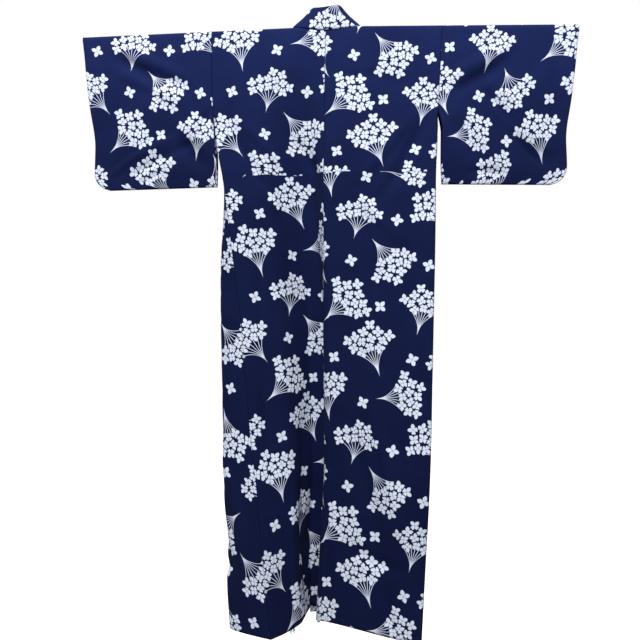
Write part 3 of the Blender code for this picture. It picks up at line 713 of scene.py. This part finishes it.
def stalk_and_stems(shader, local, long_head):
    """A pointed stalk that opens into a fan of thin curved stems."""
    from_tip = shader.vector("ADD", local, (0.0, SPRAY_MIDDLE, 0.0))
    x, y, _ = shader.split(from_tip)
    out = shader.vector("LENGTH", from_tip)
    angle = shader.math("ARCTAN2", x, y)
    width = shader.math("POWER", out / STALK_LENGTH, STALK_OPENS) * STALK_WIDTH
    stalk = shader.within(abs(angle) * out, width, EDGE)
    stalk = stalk * shader.within(out, STALK_LENGTH, STALK_FADE)

    narrow, wide = (radians(spread) for spread in STEM_SPREAD)
    spread = shader.ranged(out, STALK_LENGTH, STEM_END, narrow, wide)
    spread = spread * (long_head * STEM_WIDER + 1.0)
    lean = shader.ranged(out, STALK_LENGTH, STEM_END, 0.0, radians(STEM_LEAN))
    index = (angle - lean * long_head) / spread * ((STEMS - 1) / 2)
    off = abs(shader.math("WRAP", index, 0.5, -0.5)) * (spread * (2 / (STEMS - 1)) * out)
    short, soft = FAN_EDGE
    stems = shader.within(off, STEM_WIDTH, EDGE)
    stems = stems * shader.within(abs(index), STEMS / 2 - short, soft)
    stems = stems * shader.within(out, STEM_END, STEM_FADE) * (out > STALK_LENGTH * STEM_START)
    return shader.math("MAXIMUM", stalk, stems)


def print_mask(shader):
    """How white the print is, and how much of that is a floret's pale green middle."""
    place = shader.flat_map("cut")
    spray, turn, _, _ = nearest(shader, place, spots(SPRAYS), wrapped=True)
    kind = shader.math("FLOOR", turn / (2 * pi))
    long_head = shader.math("MODULO", kind, 2.0) > 0.5
    size = shader.math("SINE", turn * 5.0) * SPRAY_VARIES + SPRAY_SCALE
    x, y, _ = shader.split(spray)
    spray = shader.joined(x * ((kind > 1.5) * -2.0 + 1.0) * size, y * size)

    heads = (spots(head, SPRAY_MIDDLE) for head in (ROUND_HEAD, LONG_HEAD))
    florets = [shader.pick(long_head, a, b) for a, b in zip(*heads)]
    floret, _, floret_away, parting = nearest(shader, spray, florets, wrapped=False)
    single, _, single_away, _ = nearest(shader, place, spots(SINGLES), wrapped=True)
    alone = single_away < floret_away
    away = shader.math("MINIMUM", single_away, floret_away)
    petal = petals(shader, shader.pick(alone, floret, single))
    white = shader.math("MAXIMUM", petal, shader.within(away, FLORET_HEART, EDGE))
    white = white * shader.within(away, FLORET_REACH, EDGE)
    parted = shader.within(FLORET_PARTING, parting, EDGE * 3)
    white = white * shader.math("MAXIMUM", alone, parted)
    white = shader.math("MAXIMUM", white, stalk_and_stems(shader, spray, long_head))
    return white, shader.within(away, PISTIL, PISTIL_EDGE)


def sewing_lines(shader):
    """How deep in a seam, how far up on a folded hem and how much in a stitch a point lies."""
    seam, hem, _ = shader.split(shader.flat_map("sewing"))
    groove = shader.within(seam, SEAM_GROOVE, softness=0.0010)
    folded = shader.within(hem, HEM_FOLD, softness=0.0008)
    row = shader.within(abs(hem - (HEM_FOLD - STITCH_BELOW)), STITCH_WIDE, softness=0.0003)
    x, y, _ = shader.split(shader.flat_map("cut"))
    step = shader.math("WRAP", x + y, STITCH_STEP / 2, -STITCH_STEP / 2)
    return groove, folded, row * shader.within(abs(step), STITCH_LONG, softness=0.0004)


def painted_top_light(shader):
    """The strength of the navy at a height above the hem, with painted light that makes it lighter
    towards the shoulder and painted shade towards the hem.
    """
    high = shader.split(shader.place())[2]
    painted_light_ramp = shader.node("ValToRGB", shader.ranged(high, SHOULDER_Z - LENGTH, SHOULDER_Z, 0.0, 1.0))
    stops = painted_light_ramp.color_ramp.elements
    stops.remove(stops[1])
    for n, (share, half) in enumerate(NAVY_PAINTED_TOP_LIGHT):
        stop = stops.new(share) if n else stops[0]
        stop.position = share
        stop.color = (half, half, half, 1.0)
    return Number(shader, painted_light_ramp.outputs[0]) * 2.0


def cotton_material():
    shader = new_shader("printed_cotton")
    white, green = print_mask(shader)
    place = shader.flat_map("cut")
    warp, weft = (
        shader.noise(shader.vector("MULTIPLY", place, run), scale=900.0, detail=1.0)
        for run in (WARP, WEFT)
    )
    yarns = (warp + weft) * 0.5
    groove, folded, stitch = sewing_lines(shader)
    cloudy = shader.ranged(shader.noise(place, scale=9.0, detail=3.0), *NOISE_RANGE, 0.90, 1.10)
    # The navy's random cloudy tone, times painted light and shade that lighten it towards the
    # shoulder.
    navy = shader.darkened(NAVY, cloudy * painted_top_light(shader))
    motif = shader.colour(green * PISTIL_STRENGTH, WHITE, PISTIL_GREEN)
    printed = shader.colour(stitch, shader.colour(white, navy, motif), THREAD)
    # Random yarn tone, times painted shade in the seams' grooves.
    shade = shader.ranged(yarns, *NOISE_RANGE, 0.90, 1.08) * (groove * -SEAM_SHADE + 1.0)
    shader.surface(
        Base_Color=shader.darkened(printed, shade), Roughness=0.88, Specular_IOR_Level=0.03,
        Sheen_Weight=0.01, Sheen_Roughness=0.5,
    )
    turns = (2 * pi / YARN, 2 * pi / YARN, 0)
    over, under, _ = shader.split(shader.vector("MULTIPLY", place, turns))
    weave = shader.math("SINE", over) * shader.math("SINE", under)
    shader.bump(shader.noise(place, scale=13.0), strength=0.30, depth=0.012)
    shader.bump(folded * 0.5 - groove, strength=0.6, depth=0.0005)
    shader.bump(yarns * 0.8 + weave * 0.2, strength=0.25, depth=0.0004)
    return shader.material


def hanger_material():
    shader = new_shader("hanger_plastic")
    grain = shader.noise(shader.place(), scale=220.0, detail=3.0)
    worn = shader.noise(shader.place(), scale=18.0)
    shader.surface(Base_Color=shader.colour(worn, *IVORY),
                   Roughness=shader.ranged(grain, *NOISE_RANGE, 0.36, 0.50))
    shader.bump(grain, strength=0.15, depth=0.0003)
    return shader.material


def steel_material():
    shader = new_shader("hook_steel")
    drawn = shader.noise(shader.vector("MULTIPLY", shader.place(), DRAWN), scale=900.0)
    shader.surface(Base_Color=shader.colour(drawn, *STEEL), Metallic=1.0,
                   Roughness=shader.ranged(drawn, *NOISE_RANGE, 0.22, 0.34))
    shader.bump(drawn, strength=0.1, depth=0.0002)
    return shader.material


# -------------------- creases
# Soft troughs, or ridges where the depth is below 0, from one point to another, in millimetres:
# how far out (from the centre, or from the armhole on a sleeve) and how far down each starts and
# ends, how far its middle bows to one side, its half width and its depth.
CREASE_ROWS = {
    "sleeve_left_back": (
        (300, 26, 40, 146, 3, 26, -6.2), (310, 60, 30, 184, 4, 26, 8.6),
        (300, 100, 60, 225, -4, 26, -5), (8, 400, 150, 270, 0, 42, 10.5),
        (25, 300, 300, 428, 10, 20, 7.4), (75, 282, 325, 392, 6, 16, -5.8),
        (150, 382, 265, 424, -4, 14, 5), (262, 346, 332, 390, 2, 9, 3.6),
        (254, 376, 318, 414, 0, 9, 3.2), (2, 215, 60, 330, 4, 18, 7),
        (180, 210, 250, 300, -6, 30, 4),
    ),
    "sleeve_right_back": (
        (8, 162, 215, 44, -6, 30, -8.6), (14, 206, 190, 104, -4, 27, 7),
        (104, 176, 216, 284, 4, 18, 7.8), (144, 164, 246, 256, 4, 19, -5.8),
        (196, 288, 300, 388, -3, 18, 7.8), (240, 278, 326, 362, -3, 18, -5.2),
        (15, 240, 105, 405, 10, 55, 8), (50, 400, 210, 412, 4, 16, 4.6),
        (296, 110, 322, 300, 4, 20, 4), (240, 50, 262, 150, 3, 22, 3.4),
        (132, 208, 188, 272, 2, 9, 3), (216, 322, 296, 394, -2, 9, 3.4),
    ),
    "sleeve_left_front": (
        (280, 60, 30, 210, 8, 26, 9.2), (250, 100, 50, 260, 6, 24, -5.6),
        (10, 260, 270, 400, 8, 24, 8.4), (60, 250, 300, 372, 6, 18, -5),
        (180, 180, 310, 330, -6, 26, 6),
    ),
    "sleeve_right_front": (
        (20, 130, 240, 70, 6, 28, 7.6), (10, 220, 200, 380, -8, 26, 9.2),
        (50, 195, 250, 345, -6, 22, -6), (180, 392, 300, 404, 4, 16, 4.6),
        (260, 150, 310, 360, 4, 22, 5.6),
    ),
    "back_left": (
        (32, 120, 52, 620, 6, 34, 5), (180, 180, 150, 820, 10, 40, -6),
        (12, 460, 110, 270, 3, 26, 6.4), (272, 215, 160, 490, 10, 26, 8.6),
        (245, 225, 105, 410, 6, 20, -4.8), (252, 880, 238, 1320, 4, 22, 4.6),
        (130, 1020, 165, 1480, -8, 34, 7.4), (205, 1280, 190, 1600, 3, 24, -6.2),
        (150, 1380, 140, 1600, -3, 20, 6.2), (225, 560, 245, 800, -4, 22, 4.6),
    ),
    "back_right": (
        (20, 140, 250, 172, 6, 28, 3.4), (284, 218, 125, 520, 12, 27, 8.6),
        (250, 225, 80, 440, 8, 21, -5), (108, 480, 158, 770, -6, 28, 8),
        (206, 540, 240, 830, 5, 23, 6.8), (75, 450, 215, 610, 4, 24, -4.8),
        (270, 820, 252, 1060, 3, 18, 4.6), (45, 1000, 205, 1570, 14, 42, 11),
        (110, 960, 268, 1500, 10, 36, -8.6), (60, 1385, 262, 1446, -10, 30, 7),
        (36, 1240, 70, 1605, 2, 20, -5.6), (195, 1480, 215, 1608, 2, 18, 5.6),
        (60, 860, 190, 950, 4, 28, 4),
    ),
    "front_left": (
        (280, 230, 110, 560, 12, 27, 9), (240, 250, 80, 470, 8, 21, -5),
        (210, 600, 155, 1120, 8, 34, 8), (20, 740, 66, 1360, -10, 32, 9),
        (-50, 900, -24, 1560, 4, 26, -6), (120, 1140, 206, 1590, 8, 34, 10),
        (190, 1100, 255, 1520, 6, 26, -6), (70, 1400, 240, 1470, -8, 30, 6),
    ),
    "front_right": (
        (278, 225, 140, 510, 10, 26, 8.4), (235, 240, 105, 420, 8, 20, -4.6),
        (180, 520, 210, 980, -8, 30, 7), (60, 620, 30, 1180, 6, 30, 8),
        (110, 1040, 160, 1560, 8, 34, 9.6), (230, 1140, 200, 1590, 4, 26, -6),
        (-40, 1000, -20, 1500, 4, 24, 5.6),
    ),
    "collar": (
        (4, 52, 46, 18, 3, 10, 3), (12, 58, 58, 30, 2, 9, -1.8), (250, 4, 330, 52, 4, 14, 1.8),
        (520, 50, 600, 10, 4, 16, 2), (-420, 10, -330, 50, 4, 15, 1.8),
    ),
}
CREASES = {name: in_metres(rows) for name, rows in CREASE_ROWS.items()}
CREASE_ENDS = 0.35  # a crease fades out over this share of its length at each end
TOP_HELD = 0.03  # the cloth keeps its smooth form this far below the shoulder fold
SLEEVE_TOP_HELD = 0.02
TOP_FADE = 0.05  # and takes its creases fully over this drop
SEAM_FADE = 0.02  # they fade out over this much towards the centre back and the armhole
EDGE_FADE = 0.03  # and over this much towards a side seam, an overlap or a collar
LAYERS_APART = 0.024  # a sleeve's layers crease on their own once they are this far apart
COLLAR_HELD = 0.012  # the collar's creases fade out over this much towards its seam


def relief(name, out, drop):
    """How deep the cloth lies below its smooth form."""
    total = 0.0
    for *line, bow, half_width, depth in CREASES[name]:
        t, off = beside(line, out, drop)
        if 0 < t < 1:
            off -= bow * 4 * t * (1 - t)
            ends = eased(t / CREASE_ENDS) * eased((1 - t) / CREASE_ENDS)
            total += depth * eased(1 - abs(off) / half_width) * ends
    return total


def pressed(points, depths, sign):
    """A row of points, each moved by its depth to one side of the row."""
    moved = []
    for n, ((x, y, z), depth) in enumerate(zip(points, depths)):
        before, after = points[max(n - 1, 0)], points[min(n + 1, len(points) - 1)]
        run_x, run_y = after[0] - before[0], after[1] - before[1]
        move = sign * depth / hypot(run_x, run_y)
        moved.append((x - move * run_y, y + move * run_x, z))
    return moved


def creased_back(side, us, drop):
    name = "back_left" if side < 0 else "back_right"
    top = eased((drop - TOP_HELD) / TOP_FADE)
    edge = back_half(drop)
    depths = [
        relief(name, u, drop) * top * eased(u / SEAM_FADE) * eased((edge - u) / EDGE_FADE)
        for u in us
    ]
    return pressed(back_points(side, us, drop), depths, side)


def creased_front(side, us, drop):
    name = "front_left" if side < 0 else "front_right"
    top = eased((drop - TOP_HELD) / TOP_FADE)
    inner = overlap_edge(drop) if drop > KENSAKI else front_inner(drop)
    edge = front_side(drop)
    loose = eased((drop - COLLAR_END) / TOP_FADE)
    depths = [
        relief(name, u, drop) * top * eased((edge - u) / EDGE_FADE)
        * between(eased((u - inner) / EDGE_FADE), 1.0, loose)
        for u in us
    ]
    return pressed(front_points(side, us, drop), depths, -side)


def creased_sleeve(side, layer, share, drop):
    """Where the two layers lie together, both take the creases of the back."""
    x, y, z = sleeve_point(side, layer, share, drop)
    out = share * SLEEVE_WIDTH
    held = eased((drop - SLEEVE_TOP_HELD) / TOP_FADE) * eased(out / SEAM_FADE)
    end = "left" if side < 0 else "right"
    back = relief(f"sleeve_{end}_back", out, drop) * held
    if layer < 0:
        return x, y + back, z
    front = relief(f"sleeve_{end}_front", out, drop) * held
    apart = eased(abs(y - sleeve_point(side, -1, share, drop)[1]) / LAYERS_APART)
    return x, y + between(back, -front, apart), z


# -------------------- fine cloth
GRID = 0.006
BODY_ROD_GRID = 0.002  # from row to row where the cloth turns over the rod
SLEEVE_ROD_GRID = 0.003
SHELL = 0.0008  # thickness of the visible cloth
BODY_WIDTH = 0.300  # finished width of each body length
COLLAR_CUT = (2 * COLLAR_WIDTH, 1.870)
COVER_CUT = (0.095, 0.860)
NECK_EASES = 0.052  # the rows under the back neckline are level again this far down
OVERLAP_TOP = KENSAKI + 0.004
SLEEVE_BOTTOM = SLEEVE_LENGTH - 0.0005
THREAD_WIDTH = 0.0022
THREAD_CUT = (0.165, 0.385)  # plain navy
THREAD_HELD = 0.002  # each thread starts this far above the hem
# Loose threads under the left back's hem: how far out, how far aside and how far down they end.
LOOSE_THREADS = (
    (0.214, 0.002, 0.007), (0.218, 0.004, 0.010), (0.2225, 0.001, 0.006), (0.228, 0.003, 0.008),
)
SEAM_LAP = 0.0015  # the collar laps this far over the body at its seam
NECK_SAG = 0.006  # the collar's free edge hangs a little lower to the left of the centre back
NECK_SAG_AT = 0.035
NECK_SAG_HALF = 0.085
INNER_PRINT = 0.07  # the print inside the collar starts this much further on
COVER_FROM = 0.001  # the cover leaves the collar from here
COVER_TUCKED = 0.35  # its hem is turned in to this share of its height off the collar
COVER_FOLD = 0.45  # and its fold over the free edge is this share of its thickness
TUCK = 0.405  # the length tuck crosses the back and the fronts here
TUCK_HIDDEN = 0.045  # cloth that the tuck takes up
PRINT_STARTS = {
    "body_left": (0.35, 0.125), "body_right": (0.105, 0.33), "overlap_left": (0.13, 0.05),
    "overlap_right": (0.29, 0.41), "sleeve_left": (0.02, 0.25), "sleeve_right": (0.24, 0.47),
    "collar": (0.11, 0.30), "collar_cover": (0.215, 0.022),
}


def steps(low, high, size=GRID):
    count = max(1, round(abs(high - low) / size))
    return [between(low, high, n / count) for n in range(count + 1)]


def tucked(low, high):
    """Drops from low up to high, each with the length of cloth hidden in the tuck above it."""
    return [(TUCK_HIDDEN, d) for d in steps(low, TUCK)] + [(0.0, d) for d in steps(TUCK, high)]


def body_grid(side):
    """Rows of (point, place on the cut, distances from a seam and from a hem), up the back,
    over the shoulder and down the front."""
    drops = tucked(LENGTH, QUARTER_TURN)
    drops += [(0.0, drop) for drop in steps(QUARTER_TURN, 0.0, BODY_ROD_GRID)[1:]]
    inner_us = steps(0.0, NECK_HALF)[:-1]
    shares = steps(0.0, 1.0, GRID / (BACK_HALF - NECK_HALF))
    rows = []
    for hidden, drop in drops:
        edge = back_half(drop)
        outer_us = [between(NECK_HALF, edge, share) for share in shares]
        tuck = abs(drop - TUCK)
        if drop > NECK_EASES:
            us = inner_us + outer_us
            points = creased_back(side, us, drop)
            rows.append([
                (p, (side * u, hidden + drop), (min(u, edge - u, tuck), LENGTH - drop))
                for p, u in zip(points, us)
            ])
            continue
        row = []
        for u in inner_us:
            place = between(neckline(u) + SEAM, NECK_EASES, drop / NECK_EASES)
            row.append((back_points(side, (u,), place)[0], (side * u, place), (u, 1.0)))
        points = back_points(side, outer_us, drop)
        rows.append(row + [
            (p, (side * u, drop), (edge - u, 1.0)) for p, u in zip(points, outer_us)
        ])
    for hidden, drop in drops[::-1][1:]:
        inner, edge = front_inner(drop), front_side(drop)
        us = [between(inner, edge, share) for share in shares]
        points = creased_front(side, us, drop)
        tuck = abs(drop - TUCK)
        rows.append([None] * len(inner_us) + [
            (p, (side * u, -hidden - drop), (min(u - inner, edge - u, tuck), LENGTH - drop))
            for p, u in zip(points, us)
        ])
    return rows


def overlap_grid(side):
    rows = []
    count = round(OVERLAP_WIDTH / GRID)
    for hidden, drop in tucked(LENGTH, OVERLAP_TOP):
        edge = overlap_edge(drop)
        us = [between(FRONT_SEAM, edge, n / count) for n in range(count + 1)]
        points = creased_front(side, us[::-1], drop)[::-1]
        free = drop > COLLAR_END
        rows.append([
            (p, (side * u, -hidden - drop),
             (min(FRONT_SEAM - u, abs(drop - TUCK)), min(LENGTH - drop, u - edge if free else 1.0)))
            for p, u in zip(points, us)
        ])
    return rows


def sleeve_grid(side):
    drops = steps(SLEEVE_BOTTOM, QUARTER_TURN) + steps(QUARTER_TURN, 0.0, SLEEVE_ROD_GRID)[1:]
    shares = steps(0.0, 1.0, GRID / SLEEVE_WIDTH)
    return [
        [(creased_sleeve(side, layer, share, drop),
          (side * share * SLEEVE_WIDTH, -layer * drop),
          (share * SLEEVE_WIDTH, (1 - share) * SLEEVE_WIDTH))
         for share in shares]
        for layer, run in ((-1, drops), (1, drops[::-1][1:])) for drop in run
    ]


def collar_length(drop):
    """How far along the collar its seam on the front has come down to a drop."""
    upper = min(drop / KENSAKI, 1.0) * hypot(NECK_HALF - FRONT_SEAM, KENSAKI)
    below = max(drop - KENSAKI, 0.0) / (COLLAR_END - KENSAKI)
    return NECK_ALONG + upper + below * hypot(OVERLAP_WIDTH, COLLAR_END - KENSAKI)


def creased_collar(side, distance, across, off):
    """Collar and cover dip together, and their seams stay where they are."""
    dip = relief("collar", side * distance, across) * eased(across / COLLAR_HELD)
    x, y, z = collar_point(side, distance, across, off - dip)
    sag = eased(1 - abs(side * distance + NECK_SAG_AT) / NECK_SAG_HALF) * across / COLLAR_WIDTH
    return x, y, z - NECK_SAG * sag


def band_grid(section, last_drop, start, hem):
    """A section (across, off the collar's middle) carried from the left front over the back to
    the right front; with `hem` both its ends are hemmed."""
    last = collar_length(last_drop)
    distances = steps(0.0, last)
    both = [(-1, d) for d in distances[::-1]] + [(1, d) for d in distances[1:]]
    return [
        [(creased_collar(side, distance, across, off),
          (side * distance, across + (off < 0) * INNER_PRINT),
          (across - start, last - distance if hem else 1.0))
         for across, off in section]
        for side, distance in both
    ]


def collar_grid():
    """The collar is doubled: up its outside, over the free edge and down its inside."""
    off = COLLAR_WALL / 2 - SHELL / 2
    section = [(across, off) for across in steps(-SEAM_LAP, COLLAR_WIDTH - off)]
    section += [(COLLAR_WIDTH, 0.0)]
    section += [(across, -off) for across in steps(COLLAR_WIDTH - off, -SEAM_LAP)]
    return band_grid(section, COLLAR_END, 0.0, hem=False)


def cover_grid():
    off = COLLAR_WALL / 2 + COVER_GAP + COVER_WALL / 2
    tip = COLLAR_WIDTH + off
    edge = COLLAR_WIDTH - COLLAR_WALL / 2
    start = -2 * SEAM_LAP
    section = [(start, off * COVER_TUCKED)] + [(across, off) for across in steps(COVER_FROM, edge)]
    section += [(tip, off * COVER_FOLD), (tip, -off * COVER_FOLD)]
    section += [(across, -off) for across in steps(edge, COVER_INSIDE)]
    return band_grid(section, COVER_END, start, hem=True)


def add_threads(mesh, layers):
    """Thread ends that hang out of the left back's hem."""
    half = Vector((THREAD_WIDTH / 2, 0.0, 0.0))
    for u, aside, fall in LOOSE_THREADS:
        start = Vector(back_points(-1, (u,), LENGTH - THREAD_HELD)[0])
        end = Vector(back_points(-1, (u,), LENGTH)[0]) + Vector((aside, 0.0, -fall))
        middle = between(start, end, 0.5) + Vector((0.0, 0.0, -THREAD_WIDTH))
        rows = [[mesh.verts.new(p - half), mesh.verts.new(p + half)] for p in (start, middle, end)]
        for (a, b), (c, d) in zip(rows, rows[1:]):
            for loop in mesh.faces.new((a, b, d, c)).loops:
                loop[layers[0]].uv = THREAD_CUT
                loop[layers[1]].uv = (1.0, 1.0)


def placed(name, mesh):
    """An object in the scene that takes over a mesh."""
    data = bpy.data.meshes.new(name)
    mesh.to_mesh(data)
    mesh.free()
    return added(name, data)


def cloth(name, grid, closed=False):
    """A shell through the grid's points, with the cut and the sewing as its UV maps."""
    mesh = bmesh.new()
    cut = mesh.loops.layers.uv.new("cut")
    sewing = mesh.loops.layers.uv.new("sewing")
    start_x, start_y = PRINT_STARTS[name]
    verts = []
    pairs = []
    for n, row in enumerate(grid):
        places = [p and p[0] for p in row]
        if n and places == [p and p[0] for p in grid[n - 1]]:
            verts.append(verts[-1])  # the two edges of the tuck, where only the print jumps
            continue
        verts.append([place and mesh.verts.new(place) for place in places])
        if n:
            pairs.append((n - 1, n))
    if closed:
        pairs.append((len(grid) - 1, 0))
    for low, high in pairs:
        for n in range(len(grid[0]) - 1):
            corners = ((low, n), (low, n + 1), (high, n + 1), (high, n))
            if any(grid[r][c] is None for r, c in corners):
                continue
            face = mesh.faces.new([verts[r][c] for r, c in corners])
            face.smooth = True
            for loop, (r, c) in zip(face.loops, corners):
                _, (x, y), loop[sewing].uv = grid[r][c]
                loop[cut].uv = (x + start_x, y + start_y)
    if name == "body_left":
        add_threads(mesh, (cut, sewing))
    piece = placed(name + "_cloth", mesh)
    solidify = piece.modifiers.new("wall", "SOLIDIFY")
    solidify.thickness = SHELL
    solidify.offset = 0.0
    return piece


def dress(name, grid, nodes, flat, material, **ways):
    """A piece of cloth that stands for its nodes and hangs on the hanger's arms."""
    piece = cloth(name, grid, **ways)
    piece.data.materials.append(material)
    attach(piece, "root")
    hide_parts(*nodes)


# -------------------- light and floor
FLOOR_Z = -1.90
FLOOR_RADIUS = 14.0
FLOOR_GREY = (0.30, 0.30, 0.30, 1.0)
PLAIN_WHITE = (1.0, 1.0, 1.0, 1.0)
AMBIENT = 0.44
LAMPS = (("key", (-0.3, -2.7, 2.5), 205.0), ("rear", (0.5, 2.7, 2.5), 170.0))
LAMP_SIZE = 1.0
LAMP_AIM = Vector((0.0, 0.0, -0.8))


def make_world():
    """Soft light from all round, behind a plain white that only the camera sees."""
    world = bpy.data.worlds.new("studio")
    bpy.context.scene.world = world
    shader = Shader(world)
    light, backdrop = (
        shader.node("Background", PLAIN_WHITE, power).outputs[0] for power in (AMBIENT, 1.0)
    )
    chosen = shader.node("MixShader", shader.seen(), light, backdrop)
    shader.feed(shader.tree.nodes["World Output"].inputs[0], chosen.outputs[0])
    bpy.context.scene.view_settings.view_transform = "Standard"


def make_floor():
    mesh = bmesh.new()
    bmesh.ops.create_circle(mesh, cap_ends=True, segments=64, radius=FLOOR_RADIUS)
    floor = placed("floor", mesh)
    floor.location = (0.0, 0.0, FLOOR_Z)
    shader = new_shader("pale_floor")
    shader.surface(
        Base_Color=FLOOR_GREY, Roughness=0.9, Emission_Color=PLAIN_WHITE,
        Emission_Strength=shader.seen(),
    )
    floor.data.materials.append(shader.material)


def make_lamps():
    for name, place, power in LAMPS:
        data = bpy.data.lights.new(name, "AREA")
        data.size = LAMP_SIZE
        data.energy = power
        lamp = added(name, data)
        lamp.location = place
        aim = LAMP_AIM - Vector(place)
        lamp.rotation_euler = aim.to_track_quat("-Z", "Y").to_euler()


# -------------------- the whole
def finish_hanger():
    plastic = hanger_material()
    finishes = {"hanger_hook": steel_material()}
    for name in ("hanger_arm_left", "hanger_arm_right", "hanger_hub", "hanger_post", "hanger_hook"):
        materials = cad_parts[name].data.materials
        materials.clear()
        materials.append(finishes.get(name, plastic))


def main():
    make_camera()
    make_world()
    make_floor()
    make_lamps()
    cotton = cotton_material()
    for side, name in ((-1, "left"), (1, "right")):
        dress(f"body_{name}", body_grid(side), (f"back_{name}", f"front_{name}"),
              (BODY_WIDTH, 2 * LENGTH), cotton)
        dress(f"overlap_{name}", overlap_grid(side), (f"overlap_{name}",),
              (OVERLAP_WIDTH, LENGTH - KENSAKI), cotton)
        dress(f"sleeve_{name}", sleeve_grid(side), (f"sleeve_{name}",),
              (SLEEVE_WIDTH, 2 * SLEEVE_LENGTH), cotton, closed=True)
    dress("collar", collar_grid(), ("collar",), COLLAR_CUT, cotton)
    dress("collar_cover", cover_grid(), ("collar_cover",), COVER_CUT, cotton)
    finish_hanger()


main()
